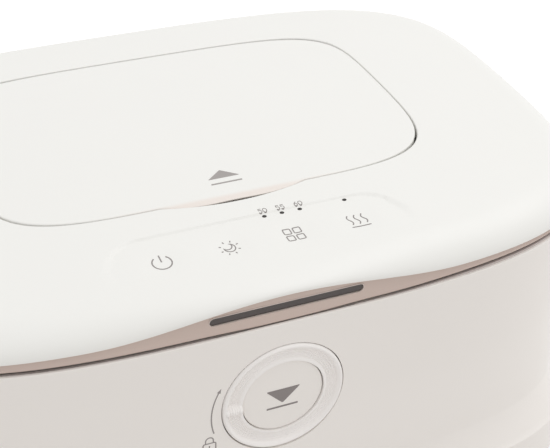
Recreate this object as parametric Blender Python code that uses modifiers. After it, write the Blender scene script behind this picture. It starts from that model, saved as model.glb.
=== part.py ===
"""Baby wipe warmer: a rounded tub with a heated bin, a hinged lid with a dispensing flap,
a push button that opens the lid and a ring round the button that locks it.

Metres, +Z up. The origin is on the floor under the middle of the body, the dial faces -Y.
"""

import math

import bmesh
import bpy
from mathutils import Matrix, Vector

# Whole body
BODY_WIDTH = 0.2210
BODY_DEPTH = 0.1466
BASE_RIM_HEIGHT = 0.0869
PARTING_GAP = 0.0008
LID_HEIGHT = 0.0173
CORNER_EXPONENT = 4.0

# Gaps and cuts that every piece shares
REST_GAP = 0.0003
RUNNING_GAP = 0.0004
OVERRUN = 0.0020
BITE = 0.0010
MERGE_DISTANCE = 0.00001

# Fineness of the facets
BODY_POINTS = 56
LID_POINTS = 64
BIN_POINTS = 40
PORT_POINTS = 28
DIAL_STEPS = 40
INLET_STEPS = 20
PIN_STEPS = 10
CROWDING_SHARE = 0.75
SHARP_ANGLE = math.radians(35)

# Base shell
BASE_WALL = 0.0030
RIM_WALL = 0.0015
RIM_ROUND = 0.0005
LEDGE_DEPTH = 0.0025
FLOOR_GAP = 0.0015
SKIRT_HEIGHT = 0.0151
SKIRT_FLARE = 0.0042
SKIRT_ROUND = 0.0004
WAIST_HEIGHT = 0.0260
WAIST_DEPTH = 0.0015
WALL_START_HEIGHT = 0.0460
NECK_SHARES = (0.0, 0.3, 0.65, 1.0)
BELLY_SHARES = (0.5, 1.0)

# Bottom plate, its screws and the feet
PLATE_THICKNESS = 0.0024
FOOT_RADIUS = 0.0080
FOOT_HEIGHT = 0.0021
FOOT_ROUND = 0.0006
FOOT_X_SHARE = 0.74
FOOT_Y_SHARE = 0.63
SCREW_BOSS_X_SHARE = 0.815
SCREW_BOSS_Y_SHARE = 0.75
SCREW_BOSS_RADIUS = 0.0042
SCREW_BOSS_TOP = 0.0240
SCREW_RIB_THICKNESS = 0.0024
SCREW_RIB_REACH = 0.0100
SCREW_RADIUS = 0.0014
SCREW_HEAD_RADIUS = 0.0032
SCREW_HEAD_HEIGHT = 0.0012
BASE_SCREW_LENGTH = 0.0130
PAD_POST_RADIUS = 0.0030
BOARD_POST_RADIUS = 0.0020

# Wipe bin
BIN_CLEARANCE = 0.0009
BIN_WALL = 0.0020
BIN_DRAFT = 0.0020
BIN_FLOOR_HEIGHT = 0.0220
BIN_CORNER_ROUND = 0.0050
BIN_EXPONENT = 6.0
FLANGE_THICKNESS = 0.0019

# Heater under the bin, and the electronics
HEATER_LENGTH = 0.1500
HEATER_WIDTH = 0.0840
HEATER_THICKNESS = 0.0015
HEATER_CORNER = 0.0080
PAD_MARGIN = 0.0030
PAD_THICKNESS = 0.0040
THERMOSTAT_RADIUS = 0.0080
THERMOSTAT_HEIGHT = 0.0065
THERMOSTAT_X = 0.0350
BOARD_LENGTH = 0.0700
BOARD_WIDTH = 0.0420
BOARD_THICKNESS = 0.0016
BOARD_HEIGHT = 0.0078
BOARD_X = -0.0300
RELAY_LENGTH = 0.0180
RELAY_WIDTH = 0.0100
RELAY_HEIGHT = 0.0050

# Power inlet in the rear wall
INLET_X = 0.0440
INLET_HEIGHT = 0.0500
INLET_COLLAR_RADIUS = 0.0052
INLET_SETBACK = 0.0009
INLET_FLANGE_RADIUS = 0.0070
INLET_FLANGE_THICKNESS = 0.0016
INLET_BODY_RADIUS = 0.0058
INLET_BODY_LENGTH = 0.0080
INLET_BORE_RADIUS = 0.0032
INLET_BORE_DEPTH = 0.0085
INLET_PIN_RADIUS = 0.0010

# Dial on the front wall: fixed housing, lock ring and button
DIAL_DROP = 0.0247
DIAL_SETBACK = 0.0008
RING_RADIUS = 0.0176
RING_DISH_DEPTH = 0.0007
RING_FLANGE_WIDTH = 0.0018
RING_FLANGE_THICKNESS = 0.0012
RING_TAB_WIDTH = 0.0012
RING_TAB_ANGLE = math.radians(10)
RING_TURN = math.radians(40)
RING_STOP_SLACK = math.radians(1.5)
BUTTON_RADIUS = 0.0116
BUTTON_PROUD = 0.00025
BUTTON_ROUND = 0.0004
BUTTON_WALL = 0.0014
BUTTON_FACE = 0.0016
STEM_RADIUS = 0.0033
STEM_CATCH = 0.0011
STEM_CATCH_LENGTH = 0.0010
STEM_LENGTH = 0.0093
STEM_TIP_RADIUS = 0.0011
HOUSING_THICKNESS = 0.0015
HOUSING_RIM_WIDTH = 0.0022
GUIDE_WALL = 0.0012
GUIDE_LENGTH = 0.0007
POINTER_LENGTH = 0.0032
POINTER_WIDTH = 0.0017
POINTER_HEIGHT = 0.0009
POINTER_ANGLE = math.radians(183.7)

# Latch behind the dial
LEVER_WIDTH = 0.0092
LEVER_THICKNESS = 0.0022
LEVER_PIVOT_RISE = 0.0138
LEVER_TAIL = 0.0030
LEVER_TOP_DROP = 0.0015
LEVER_NOSE_REACH = 0.0013
LEVER_NOSE_HEIGHT = 0.0020
LEVER_HUB_RADIUS = 0.0024
LEVER_HUB_STEPS = 10
LATCH_PIN_RADIUS = 0.0010
BRACKET_WALL = 0.0015
BRACKET_DEPTH = 0.0113
BRACKET_RISE = 0.0033
BRACKET_TAIL = 0.0055
SPRING_RADIUS = 0.0023
SPRING_WIRE = 0.0005
SPRING_TURNS = 4
SPRING_TURN_POINTS = 10
STRIKE_WIDTH = 0.0120
STRIKE_PLATE = 0.0014
STRIKE_LEDGE_HEIGHT = 0.0018
STRIKE_LEDGE_DROP = 0.0006
STRIKE_FRONT_REACH = 0.0070
LATCH_NOTCH_WIDTH = 0.0150

# Lid hinge at the rear
HINGE_INSET = 0.0036
HINGE_DROP = 0.0100
HINGE_BAY_START = 0.0280
HINGE_BAY_LENGTH = 0.0220
HINGE_BARREL_RADIUS = 0.0030
HINGE_BAY_ROOM = 0.0005
HINGE_EAR = 0.0030
HINGE_EAR_REACH = 0.0034
HINGE_EAR_BITE = 0.0020
HINGE_EAR_HEIGHT = 0.0080
HINGE_PIN_RADIUS = 0.00125
HINGE_PIN_SHORT = 0.0004
HINGE_ARM_BACK = 0.0012
HINGE_ARM_FRONT = 0.0018

# Lid cover
DOME_RADIUS_X = 3.450
DOME_RADIUS_Y = 0.5060
DOME_CENTRE_Y = 0.0039
COVER_WALL = 0.0024
COVER_EDGE_ROUND = 0.0003
COVER_STRAIGHT = 0.0008
COVER_ROUND_WIDTH = 0.0095
COVER_OUTER_ANGLES = (0, 22, 45, 67, 90)
COVER_INNER_ANGLES = (90, 45, 0)
COVER_BOSS_X_SHARE = 0.842
COVER_BOSS_Y_SHARE = 0.808
COVER_BOSS_RADIUS = 0.0036
COVER_SCREW_LENGTH = 0.0080

# Lid frame: the band that shows under the cover
BAND_HEIGHT = 0.0040
BAND_ARCH_RISE = 0.0044
BAND_ARCH_HALF = 0.0540
BAND_RECESS = 0.0004
BAND_ROUND = 0.0005
FRAME_WALL = 0.0020
FRAME_SPIGOT = 0.0007
FRAME_FLANGE_INSET = 0.0090
FRAME_FLANGE_THICKNESS = 0.0025
FRAME_TOP_ROOM = 0.0006

# Light window in the band
WINDOW_HALF_LENGTH = 0.0211
WINDOW_HALF_HEIGHT = 0.0011
WINDOW_HEIGHT = 0.0048
WINDOW_SET_BACK = 0.0002
WINDOW_FLANGE_LENGTH = 0.0014
WINDOW_FLANGE_HEIGHT = 0.0009
WINDOW_FLANGE_THICKNESS = 0.0008
WINDOW_END_STEPS = 5
LIGHT_BOARD_HALF_LENGTH = 0.0230
LIGHT_BOARD_THICKNESS = 0.0008
LIGHT_CHIP_LENGTH = 0.0030
LIGHT_CHIP_HEIGHT = 0.0016
LIGHT_CHIP_THICKNESS = 0.0006
LIGHT_CHIP_SPACING = 0.0130

# Lid liner and its seal
LINER_INSET = 0.0079
LINER_THICKNESS = 0.0016
SEAL_WIDTH = 0.0030
SEAL_OUTSET = 0.0007
SEAL_CLEARANCE = 0.0028

# Dispensing flap and the tray under it
FLAP_HALF_LENGTH = 0.0642
FLAP_HALF_WIDTH = 0.0401
FLAP_EXPONENT = 5.1
FLAP_GAP = 0.0007
OPENING_EXPONENT = 5.4
OPENING_ROUND = 0.0003
FLAP_THICKNESS = 0.0022
FLAP_SKIRT = 0.0032
FLAP_SKIRT_WALL = 0.0018
FLAP_ROUND = 0.0007
FLAP_RING_SHARES = (0.62, 0.3)
SCOOP_HALF_LENGTH = 0.0208
SCOOP_DEPTH = 0.0043
TRAY_WALL = 0.0016
TRAY_FLANGE = 0.0035
TRAY_FLANGE_THICKNESS = 0.0015
TRAY_FLOOR_DEPTH = 0.0112
TRAY_ROUND = 0.0015
TRAY_NOTCH_ROOM = 0.0005

# Flap hinge
FLAP_AXIS_INSET = 0.0080
FLAP_AXIS_DEPTH = 0.00166
FLAP_PIN_RADIUS = 0.0006
FLAP_PIN_GAP = 0.0002
FLAP_LUG_HALF_WIDTH = 0.0018
FLAP_LUG_RISE = 0.0003
FLAP_LUG_DROP = 0.0018
FLAP_LUG_LENGTH = 0.0065
FLAP_LUG_END = 0.0568
FLAP_SOCKET_START = 0.0632
FLAP_SOCKET_LENGTH = 0.0040
FLAP_SOCKET_HALF_WIDTH = 0.0022
FLAP_SOCKET_DROP = 0.0024

# Silicone port, and the seal on the flap
PORT_MOUTH_LENGTH = 0.0285
PORT_MOUTH_WIDTH = 0.0050
PORT_NECK_LENGTH = 0.0308
PORT_NECK_WIDTH = 0.0108
PORT_NECK_WALL = 0.0012
PORT_LIP_LENGTH = 0.0370
PORT_LIP_WIDTH = 0.0150
PORT_LIP_WALL = 0.0016
PORT_LIP_HEIGHT = 0.0033
PORT_FLANGE = 0.0030
PORT_SKIN = 0.0012
PORT_EXPONENT = 2.5
FLAP_PLATE_MARGIN = 0.0050
FLAP_PLATE_THICKNESS = 0.0017
FLAP_SEAL_WIDTH = 0.0026

# Touch keys and indicator lights under the front of the cover
TOUCH_ROW_Y = -0.0557
TOUCH_SPACING = 0.01848
LED_ROW_Y = -0.0469
LED_SPACING = 0.00509
LED_GROUP_X = 0.00924
TOUCH_BOARD_MARGIN_X = 0.0140
TOUCH_BOARD_FRONT = 0.0090
TOUCH_BOARD_BACK = 0.0115
TOUCH_BOARD_THICKNESS = 0.0012
TOUCH_PAD_RADIUS = 0.0045
TOUCH_PAD_HEIGHT = 0.0018
GUIDE_PIN_RADIUS = 0.0006
GUIDE_BAR_HALF_WIDTH = 0.0013
GUIDE_BAR_THICKNESS = 0.0011

# Places that follow from the sizes above
HALF_X = BODY_WIDTH / 2
HALF_Y = BODY_DEPTH / 2
LEDGE_Z = BASE_RIM_HEIGHT - LEDGE_DEPTH
LID_BOTTOM_Z = BASE_RIM_HEIGHT + PARTING_GAP
CROWN_Z = LID_BOTTOM_Z + LID_HEIGHT
PLATE_BOTTOM_Z = FOOT_HEIGHT + REST_GAP
PLATE_TOP_Z = PLATE_BOTTOM_Z + PLATE_THICKNESS
FLANGE_BOTTOM_Z = LEDGE_Z + REST_GAP
FLANGE_TOP_Z = FLANGE_BOTTOM_Z + FLANGE_THICKNESS
BIN_HALF_X = HALF_X - FRAME_FLANGE_INSET - SEAL_CLEARANCE - SEAL_WIDTH - SEAL_OUTSET
HEATER_TOP_Z = BIN_FLOOR_HEIGHT - REST_GAP
HEATER_BOTTOM_Z = HEATER_TOP_Z - HEATER_THICKNESS
PAD_TOP_Z = HEATER_BOTTOM_Z - REST_GAP
PAD_BOTTOM_Z = PAD_TOP_Z - PAD_THICKNESS
DIAL_Z = BASE_RIM_HEIGHT - DIAL_DROP
DIAL_PLACE = Vector((0, -HALF_Y, DIAL_Z))
RING_INNER_RADIUS = BUTTON_RADIUS + RUNNING_GAP
RING_FLANGE_DEPTH = BASE_WALL + DIAL_SETBACK
RING_BACK_DEPTH = RING_FLANGE_DEPTH + RING_FLANGE_THICKNESS
HOUSING_DEPTH = RING_BACK_DEPTH + REST_GAP
HOUSING_BACK_DEPTH = HOUSING_DEPTH + HOUSING_THICKNESS
HOUSING_RIM_RADIUS = RING_RADIUS + RING_FLANGE_WIDTH + RUNNING_GAP
HOUSING_RADIUS = HOUSING_RIM_RADIUS + HOUSING_RIM_WIDTH
LEVER_FRONT_Y = -HALF_Y + STEM_LENGTH + REST_GAP
LEVER_BACK_Y = LEVER_FRONT_Y + LEVER_THICKNESS
LEVER_PIVOT_Y = (LEVER_FRONT_Y + LEVER_BACK_Y) / 2
LEVER_PIVOT_Z = DIAL_Z + LEVER_PIVOT_RISE
LEVER_TOP_Z = BASE_RIM_HEIGHT - LEVER_TOP_DROP
NOSE_BOTTOM_Z = LEVER_TOP_Z - LEVER_NOSE_HEIGHT
NOSE_TIP_Y = LEVER_BACK_Y + LEVER_NOSE_REACH
BRACKET_FRONT_Y = -HALF_Y + HOUSING_BACK_DEPTH + REST_GAP
BRACKET_BACK_Y = BRACKET_FRONT_Y + BRACKET_DEPTH
BRACKET_INNER_Y = BRACKET_BACK_Y - BRACKET_WALL
BIN_HALF_Y = -BRACKET_BACK_Y - BIN_CLEARANCE - BIN_WALL
BRACKET_TOP_Z = LEVER_PIVOT_Z + BRACKET_RISE
BRACKET_BOTTOM_Z = DIAL_Z - BRACKET_TAIL
STRIKE_LEDGE_Y = NOSE_TIP_Y + REST_GAP
STRIKE_TAB_Y = STRIKE_LEDGE_Y + LEVER_NOSE_REACH
STRIKE_BACK_Y = STRIKE_TAB_Y + STRIKE_PLATE
STRIKE_TOP_Z = LID_BOTTOM_Z - REST_GAP
STRIKE_LEDGE_Z = NOSE_BOTTOM_Z - STRIKE_LEDGE_DROP
LATCH_NOTCH_BACK_Y = STRIKE_BACK_Y + BITE
HINGE_Y = HALF_Y - HINGE_INSET
HINGE_Z = LID_BOTTOM_Z - HINGE_DROP
HINGE_BAY_END = HINGE_BAY_START + HINGE_BAY_LENGTH
FRAME_SHELF_Z = LID_BOTTOM_Z + FRAME_FLANGE_THICKNESS
LINER_BOTTOM_Z = FRAME_SHELF_Z + REST_GAP
LINER_TOP_Z = LINER_BOTTOM_Z + LINER_THICKNESS
TRAY_FLOOR_Z = CROWN_Z - TRAY_FLOOR_DEPTH
TRAY_BOTTOM_Z = LINER_TOP_Z + REST_GAP
PORT_LIP_Z = TRAY_FLOOR_Z + PORT_LIP_HEIGHT
FLAP_AXIS_Y = DOME_CENTRE_Y + FLAP_HALF_WIDTH - FLAP_AXIS_INSET
TOUCH_BOARD_Z = LINER_TOP_Z + FRAME_FLANGE_THICKNESS


def outline(half_x, half_y, exponent, count, centre_y=0.0):
    """Superellipse, counter-clockwise from +X, its points crowded at the corners."""
    points = []
    for step in range(count):
        angle = math.tau * step / count
        across = math.copysign(abs(math.cos(angle)) ** CROWDING_SHARE, math.cos(angle))
        along = math.copysign(abs(math.sin(angle)) ** CROWDING_SHARE, math.sin(angle))
        reach = (abs(across) ** exponent + abs(along) ** exponent) ** (-1 / exponent)
        points.append((half_x * across * reach, centre_y + half_y * along * reach))
    return points


def body_outline(offset, count):
    """The body's outline, grown by an offset."""
    return outline(HALF_X + offset, HALF_Y + offset, CORNER_EXPONENT, count)


def circle(radius, count, centre=(0, 0)):
    """Points of a circle, counter-clockwise."""
    turns = [math.tau * step / count for step in range(count)]
    return [(centre[0] + radius * math.cos(a), centre[1] + radius * math.sin(a)) for a in turns]


def rounded_rectangle(half_x, half_y, radius, steps):
    """Rectangle with round corners, counter-clockwise."""
    points = []
    for quarter in range(4):
        centre_x = (half_x - radius) * (1 if quarter in (0, 3) else -1)
        centre_y = (half_y - radius) * (1 if quarter in (0, 1) else -1)
        for step in range(steps + 1):
            angle = math.pi / 2 * (quarter + step / steps)
            points.append((centre_x + radius * math.cos(angle), centre_y + radius * math.sin(angle)))
    return points


def level(points, height):
    """A ring at a height, which may be a function of x and y."""
    if callable(height):
        return [Vector((x, y, height(x, y))) for x, y in points]
    return [Vector((x, y, height)) for x, y in points]


def upright(points, y):
    """A ring that stands in the XZ plane at one y."""
    return [Vector((x, y, z)) for x, z in points]


def dome(x, y):
    """Height of the lid's domed top."""
    from_centre = y - DOME_CENTRE_Y
    return CROWN_Z - x * x / (2 * DOME_RADIUS_X) - from_centre * from_centre / (2 * DOME_RADIUS_Y)


def below_dome(depth):
    """Height function that follows the dome at a depth."""
    return lambda x, y: dome(x, y) - depth


def cover_edge(x, y):
    """Height of the cover's lower edge, which arches up over the light window."""
    height = LID_BOTTOM_Z + BAND_HEIGHT
    if y < 0 and abs(x) < BAND_ARCH_HALF:
        height += BAND_ARCH_RISE * math.cos(math.pi / 2 * x / BAND_ARCH_HALF) ** 2
    return height


def opening_outline(margin):
    """The cover's flap opening with its finger scoop, grown by a margin."""
    half_x = FLAP_HALF_LENGTH + FLAP_GAP + margin
    half_y = FLAP_HALF_WIDTH + FLAP_GAP + margin
    scoop_half = SCOOP_HALF_LENGTH + margin
    points = []
    for x, y in outline(half_x, half_y, OPENING_EXPONENT, LID_POINTS, DOME_CENTRE_Y):
        if y < DOME_CENTRE_Y and abs(x) < scoop_half:
            y -= SCOOP_DEPTH * (1 - (x / scoop_half) ** 2)
        points.append((x, y))
    return points


def port_outline(half_x, half_y):
    """Oval round the middle of the dispensing port."""
    return outline(half_x, half_y, PORT_EXPONENT, PORT_POINTS, DOME_CENTRE_Y)


def new_collection(name):
    """A collection in the scene."""
    collection = bpy.data.collections.new(name)
    bpy.context.scene.collection.children.link(collection)
    return collection


def clear_scene():
    """Remove every object that is in the scene."""
    for obj in list(bpy.data.objects):
        bpy.data.objects.remove(obj, do_unlink=True)


def material(name, colour, roughness, metallic=0.0):
    """Principled material of one colour."""
    made = bpy.data.materials.new(name)
    made.use_nodes = True
    shader = made.node_tree.nodes["Principled BSDF"]
    shader.inputs["Base Color"].default_value = (*colour, 1.0)
    shader.inputs["Roughness"].default_value = roughness
    shader.inputs["Metallic"].default_value = metallic
    return made


def place_object(name, data, finish):
    """A part with a finish, or a cutter if it has none."""
    obj = bpy.data.objects.new(name, data)
    if finish is None:
        obj.hide_render = True
        obj.display_type = "WIRE"
        CUTTERS.objects.link(obj)
    else:
        data.materials.append(finish)
        PARTS.objects.link(obj)
    return obj


def finish_mesh(shape, name):
    """Turn a bmesh into a mesh with outward faces and sharp edges."""
    bmesh.ops.recalc_face_normals(shape, faces=shape.faces)
    mesh = bpy.data.meshes.new(name)
    shape.to_mesh(mesh)
    shape.free()
    mesh.shade_smooth()
    mesh.set_sharp_from_angle(angle=SHARP_ANGLE)
    return mesh


def add_loft(name, rings, finish=None, wrap=False):
    """Skin rings of equal count, closed by end caps or by joining last to first."""
    shape = bmesh.new()
    rows = [[shape.verts.new(point) for point in ring] for ring in rings]
    count = len(rows[0])
    pairs = list(zip(rows, rows[1:]))
    if wrap:
        pairs.append((rows[-1], rows[0]))
    else:
        shape.faces.new(list(reversed(rows[0])))
        shape.faces.new(rows[-1])
    for lower, upper in pairs:
        for index in range(count):
            after = (index + 1) % count
            shape.faces.new((lower[index], lower[after], upper[after], upper[index]))
    return place_object(name, finish_mesh(shape, name), finish)


def add_box(name, low, high, finish=None):
    """Box between two corners."""
    low = Vector(low)
    high = Vector(high)
    shape = bmesh.new()
    bmesh.ops.create_cube(shape, size=1.0)
    bmesh.ops.scale(shape, vec=high - low, verts=shape.verts)
    obj = place_object(name, finish_mesh(shape, name), finish)
    obj.location = (low + high) / 2
    return obj


def add_cylinder(name, radius, start, end, steps, finish=None):
    """Cylinder from one point to another."""
    start = Vector(start)
    run = Vector(end) - start
    shape = bmesh.new()
    bmesh.ops.create_cone(
        shape, cap_ends=True, segments=steps, radius1=radius, radius2=radius, depth=run.length
    )
    obj = place_object(name, finish_mesh(shape, name), finish)
    obj.location = start + run / 2
    obj.rotation_mode = "QUATERNION"
    obj.rotation_quaternion = run.to_track_quat("Z", "Y")
    return obj


def add_revolve(name, profile, place, turn, steps, closed, finish=None):
    """Turn a profile of (radius, height) points round an axis with a Screw modifier."""
    mesh = bpy.data.meshes.new(name)
    count = len(profile)
    edges = [(index, index + 1) for index in range(count - 1)]
    if closed:
        edges.append((count - 1, 0))
    mesh.from_pydata([(radius, 0, height) for radius, height in profile], edges, [])
    obj = place_object(name, mesh, finish)
    obj.location = place
    obj.rotation_euler = turn
    screw = obj.modifiers.new("Screw", "SCREW")
    screw.axis = "Z"
    screw.angle = math.tau
    screw.steps = steps
    screw.render_steps = steps
    screw.use_merge_vertices = True
    screw.merge_threshold = MERGE_DISTANCE
    screw.use_smooth_shade = True
    return obj


def add_extrusion(name, loops, low, high, finish=None, matrix=None):
    """Flat outline with holes, as thick as from low to high along its own Z."""
    curve = bpy.data.curves.new(name, "CURVE")
    curve.dimensions = "2D"
    curve.fill_mode = "BOTH"
    curve.extrude = (high - low) / 2
    for loop in loops:
        spline = curve.splines.new("POLY")
        spline.points.add(len(loop) - 1)
        for point, (x, y) in zip(spline.points, loop):
            point.co = (x, y, 0, 1)
        spline.use_cyclic_u = True
    obj = place_object(name, curve, finish)
    lift = Matrix.Translation((0, 0, (low + high) / 2))
    obj.matrix_world = matrix @ lift if matrix else lift
    return obj


def as_mesh(obj, finish=None):
    """Replace a curve by its own mesh, so that it can be cut or joined."""
    bpy.context.view_layer.update()
    name = obj.name
    placed = obj.matrix_world.copy()
    evaluated = obj.evaluated_get(bpy.context.evaluated_depsgraph_get())
    mesh = bpy.data.meshes.new_from_object(evaluated)
    bpy.data.objects.remove(obj, do_unlink=True)
    mesh.materials.clear()
    mesh.name = name
    shape = bmesh.new()
    shape.from_mesh(mesh)
    bmesh.ops.remove_doubles(shape, verts=shape.verts, dist=MERGE_DISTANCE)
    bmesh.ops.recalc_face_normals(shape, faces=shape.faces)
    shape.to_mesh(mesh)
    shape.free()
    solid = place_object(name, mesh, finish)
    solid.matrix_world = placed
    return solid


def combine(target, tool, operation):
    """Boolean modifier on a part."""
    modifier = target.modifiers.new(tool.name, "BOOLEAN")
    modifier.operation = operation
    modifier.object = tool


def cut(target, tool):
    """Take the tool's space out of a part."""
    combine(target, tool, "DIFFERENCE")


def join(target, tool):
    """Add the tool's solid to a part."""
    combine(target, tool, "UNION")


def add_axis(name, place, children):
    """Empty on a joint's axis that carries the pieces which move with it."""
    empty = bpy.data.objects.new(name, None)
    PARTS.objects.link(empty)
    empty.location = place
    for child in children:
        child.parent = empty
        child.matrix_parent_inverse = Matrix.Translation(place).inverted()
    return empty


def base_offset(height):
    """How far the base's outer wall stands outside the body's outline at a height."""
    if height >= WALL_START_HEIGHT:
        return 0.0
    if height >= WAIST_HEIGHT:
        share = (height - WAIST_HEIGHT) / (WALL_START_HEIGHT - WAIST_HEIGHT)
        return -WAIST_DEPTH * (1 - share * share * (3 - 2 * share))
    share = (height - SKIRT_HEIGHT) / (WAIST_HEIGHT - SKIRT_HEIGHT)
    return -WAIST_DEPTH + (SKIRT_FLARE - SKIRT_ROUND + WAIST_DEPTH) * (1 - share) ** 2


def base_heights():
    """Heights of the base's rings between the skirt and the upright wall."""
    neck = WAIST_HEIGHT - SKIRT_HEIGHT
    belly = WALL_START_HEIGHT - WAIST_HEIGHT
    heights = [SKIRT_HEIGHT + neck * share for share in NECK_SHARES]
    heights += [WAIST_HEIGHT + belly * share for share in BELLY_SHARES]
    return heights


def screw_places():
    """Where the base's screws stand, and the sign of each corner."""
    places = []
    for sign_y in (-1, 1):
        for sign_x in (-1, 1):
            places.append((sign_x * HALF_X * SCREW_BOSS_X_SHARE, sign_y * HALF_Y * SCREW_BOSS_Y_SHARE))
    return places


def hinge_bays():
    """The x ranges of the two hinge bays in the rear wall, with their names."""
    return (
        ("left", -HINGE_BAY_END, -HINGE_BAY_START),
        ("right", HINGE_BAY_START, HINGE_BAY_END),
    )


def add_hinge_ears(shell):
    """Bosses for the hinge pins, and the bays that the lid's knuckles turn in."""
    for side, start, end in hinge_bays():
        ears = add_box(
            "ears_" + side,
            (start - HINGE_EAR, HINGE_Y - HINGE_EAR_REACH, HINGE_Z - HINGE_EAR_HEIGHT / 2),
            (end + HINGE_EAR, HINGE_Y + HINGE_EAR_BITE, HINGE_Z + HINGE_EAR_HEIGHT / 2),
        )
        bay = add_box(
            "bay_" + side,
            (start, HINGE_Y - HINGE_EAR_REACH - OVERRUN, HINGE_Z - HINGE_BARREL_RADIUS - HINGE_BAY_ROOM),
            (end, HALF_Y + OVERRUN, BASE_RIM_HEIGHT + OVERRUN),
        )
        bore = add_cylinder(
            "hinge_bore_" + side,
            HINGE_PIN_RADIUS + REST_GAP,
            (start - HINGE_EAR - OVERRUN, HINGE_Y, HINGE_Z),
            (end + HINGE_EAR + OVERRUN, HINGE_Y, HINGE_Z),
            PIN_STEPS,
        )
        join(shell, ears)
        cut(shell, bay)
        cut(shell, bore)


def add_screw_bosses(shell):
    """Bosses at the corners, ribbed to the skirt, that take the base's screws."""
    bottom = PLATE_TOP_Z + REST_GAP
    for index, (x, y) in enumerate(screw_places(), start=1):
        outward = Vector((x, y, 0)).normalized()
        boss = add_cylinder(
            f"base_boss_{index}", SCREW_BOSS_RADIUS, (x, y, bottom), (x, y, SCREW_BOSS_TOP), PIN_STEPS
        )
        rib_top = SKIRT_HEIGHT - BITE
        rib = add_box(
            f"base_rib_{index}",
            (0, -SCREW_RIB_THICKNESS / 2, bottom + BITE),
            (SCREW_RIB_REACH, SCREW_RIB_THICKNESS / 2, rib_top),
        )
        rib.rotation_euler = (0, 0, math.atan2(outward.y, outward.x))
        middle = Vector((x, y, (bottom + BITE + rib_top) / 2))
        rib.location = middle + outward * SCREW_RIB_REACH / 2
        bore = add_cylinder(
            f"base_bore_{index}",
            SCREW_RADIUS + REST_GAP,
            (x, y, bottom - OVERRUN),
            (x, y, PLATE_TOP_Z + BASE_SCREW_LENGTH + BITE),
            PIN_STEPS,
        )
        join(shell, boss)
        join(shell, rib)
        cut(shell, bore)


def build_base_shell(finish):
    """Outer housing of the base, from its flared skirt to the rim under the lid."""
    heights = base_heights()
    outer = [(SKIRT_FLARE - SKIRT_ROUND, FLOOR_GAP), (SKIRT_FLARE, FLOOR_GAP + SKIRT_ROUND)]
    outer.append((SKIRT_FLARE, SKIRT_HEIGHT - SKIRT_ROUND))
    outer += [(base_offset(height), height) for height in heights]
    outer += [(0, BASE_RIM_HEIGHT - RIM_ROUND), (-RIM_ROUND, BASE_RIM_HEIGHT)]
    inner = [(-RIM_WALL, BASE_RIM_HEIGHT), (-RIM_WALL, LEDGE_Z), (-BASE_WALL, LEDGE_Z)]
    inner += [(-BASE_WALL, WALL_START_HEIGHT), (-WAIST_DEPTH - BASE_WALL, WAIST_HEIGHT)]
    inner += [(SKIRT_FLARE - BASE_WALL, SKIRT_HEIGHT), (SKIRT_FLARE - BASE_WALL, FLOOR_GAP)]
    rings = [level(body_outline(offset, BODY_POINTS), height) for offset, height in outer + inner]
    shell = add_loft("base_shell", rings, finish, wrap=True)
    add_hinge_ears(shell)
    add_screw_bosses(shell)
    dial_hole = add_cylinder(
        "dial_hole",
        RING_RADIUS + RUNNING_GAP,
        DIAL_PLACE - Vector((0, OVERRUN, 0)),
        DIAL_PLACE + Vector((0, BASE_WALL + OVERRUN, 0)),
        DIAL_STEPS,
    )
    inlet_hole = add_cylinder(
        "inlet_hole",
        INLET_COLLAR_RADIUS + REST_GAP,
        (INLET_X, HALF_Y + OVERRUN, INLET_HEIGHT),
        (INLET_X, HALF_Y - BASE_WALL - OVERRUN, INLET_HEIGHT),
        INLET_STEPS,
    )
    cut(shell, dial_hole)
    cut(shell, inlet_hole)
    return shell


def foot_places():
    """Where the four feet stand, with their names."""
    places = []
    for end, sign_y in (("front", -1), ("rear", 1)):
        for side, sign_x in (("left", -1), ("right", 1)):
            place = (sign_x * HALF_X * FOOT_X_SHARE, sign_y * HALF_Y * FOOT_Y_SHARE)
            places.append((end + "_" + side, place))
    return places


def build_feet(finish):
    """Four rubber feet under the bottom plate."""
    profile = [
        (0, FOOT_HEIGHT),
        (FOOT_RADIUS, FOOT_HEIGHT),
        (FOOT_RADIUS, FOOT_ROUND),
        (FOOT_RADIUS - FOOT_ROUND, 0),
        (0, 0),
    ]
    for name, (x, y) in foot_places():
        add_revolve("foot_" + name, profile, (x, y, 0), (0, 0, 0), INLET_STEPS, False, finish)


def build_base_plate(finish):
    """Bottom plate with posts for the heater's pad and for the power board."""
    edge = SKIRT_FLARE - BASE_WALL - RUNNING_GAP
    points = body_outline(edge, BODY_POINTS)
    plate = add_loft("base_plate", [level(points, PLATE_BOTTOM_Z), level(points, PLATE_TOP_Z)], finish)
    for index, (x, y) in enumerate(screw_places(), start=1):
        low = (x, y, PLATE_BOTTOM_Z - OVERRUN)
        high = (x, y, PLATE_TOP_Z + OVERRUN)
        cut(plate, add_cylinder(f"plate_hole_{index}", SCREW_RADIUS + REST_GAP, low, high, PIN_STEPS))
    posts = []
    for sign_x in (-1, 1):
        for sign_y in (-1, 1):
            x = sign_x * (HEATER_LENGTH / 2 - PAD_POST_RADIUS)
            y = sign_y * (HEATER_WIDTH / 2 - PAD_POST_RADIUS)
            posts.append((x, y, PAD_POST_RADIUS, PAD_BOTTOM_Z))
            x = BOARD_X + sign_x * (BOARD_LENGTH / 2 - PAD_POST_RADIUS)
            y = sign_y * (BOARD_WIDTH / 2 - PAD_POST_RADIUS)
            posts.append((x, y, BOARD_POST_RADIUS, BOARD_HEIGHT))
    for index, (x, y, radius, top) in enumerate(posts, start=1):
        low = (x, y, PLATE_TOP_Z - BITE)
        high = (x, y, top - REST_GAP)
        join(plate, add_cylinder(f"plate_post_{index}", radius, low, high, PIN_STEPS))


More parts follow.
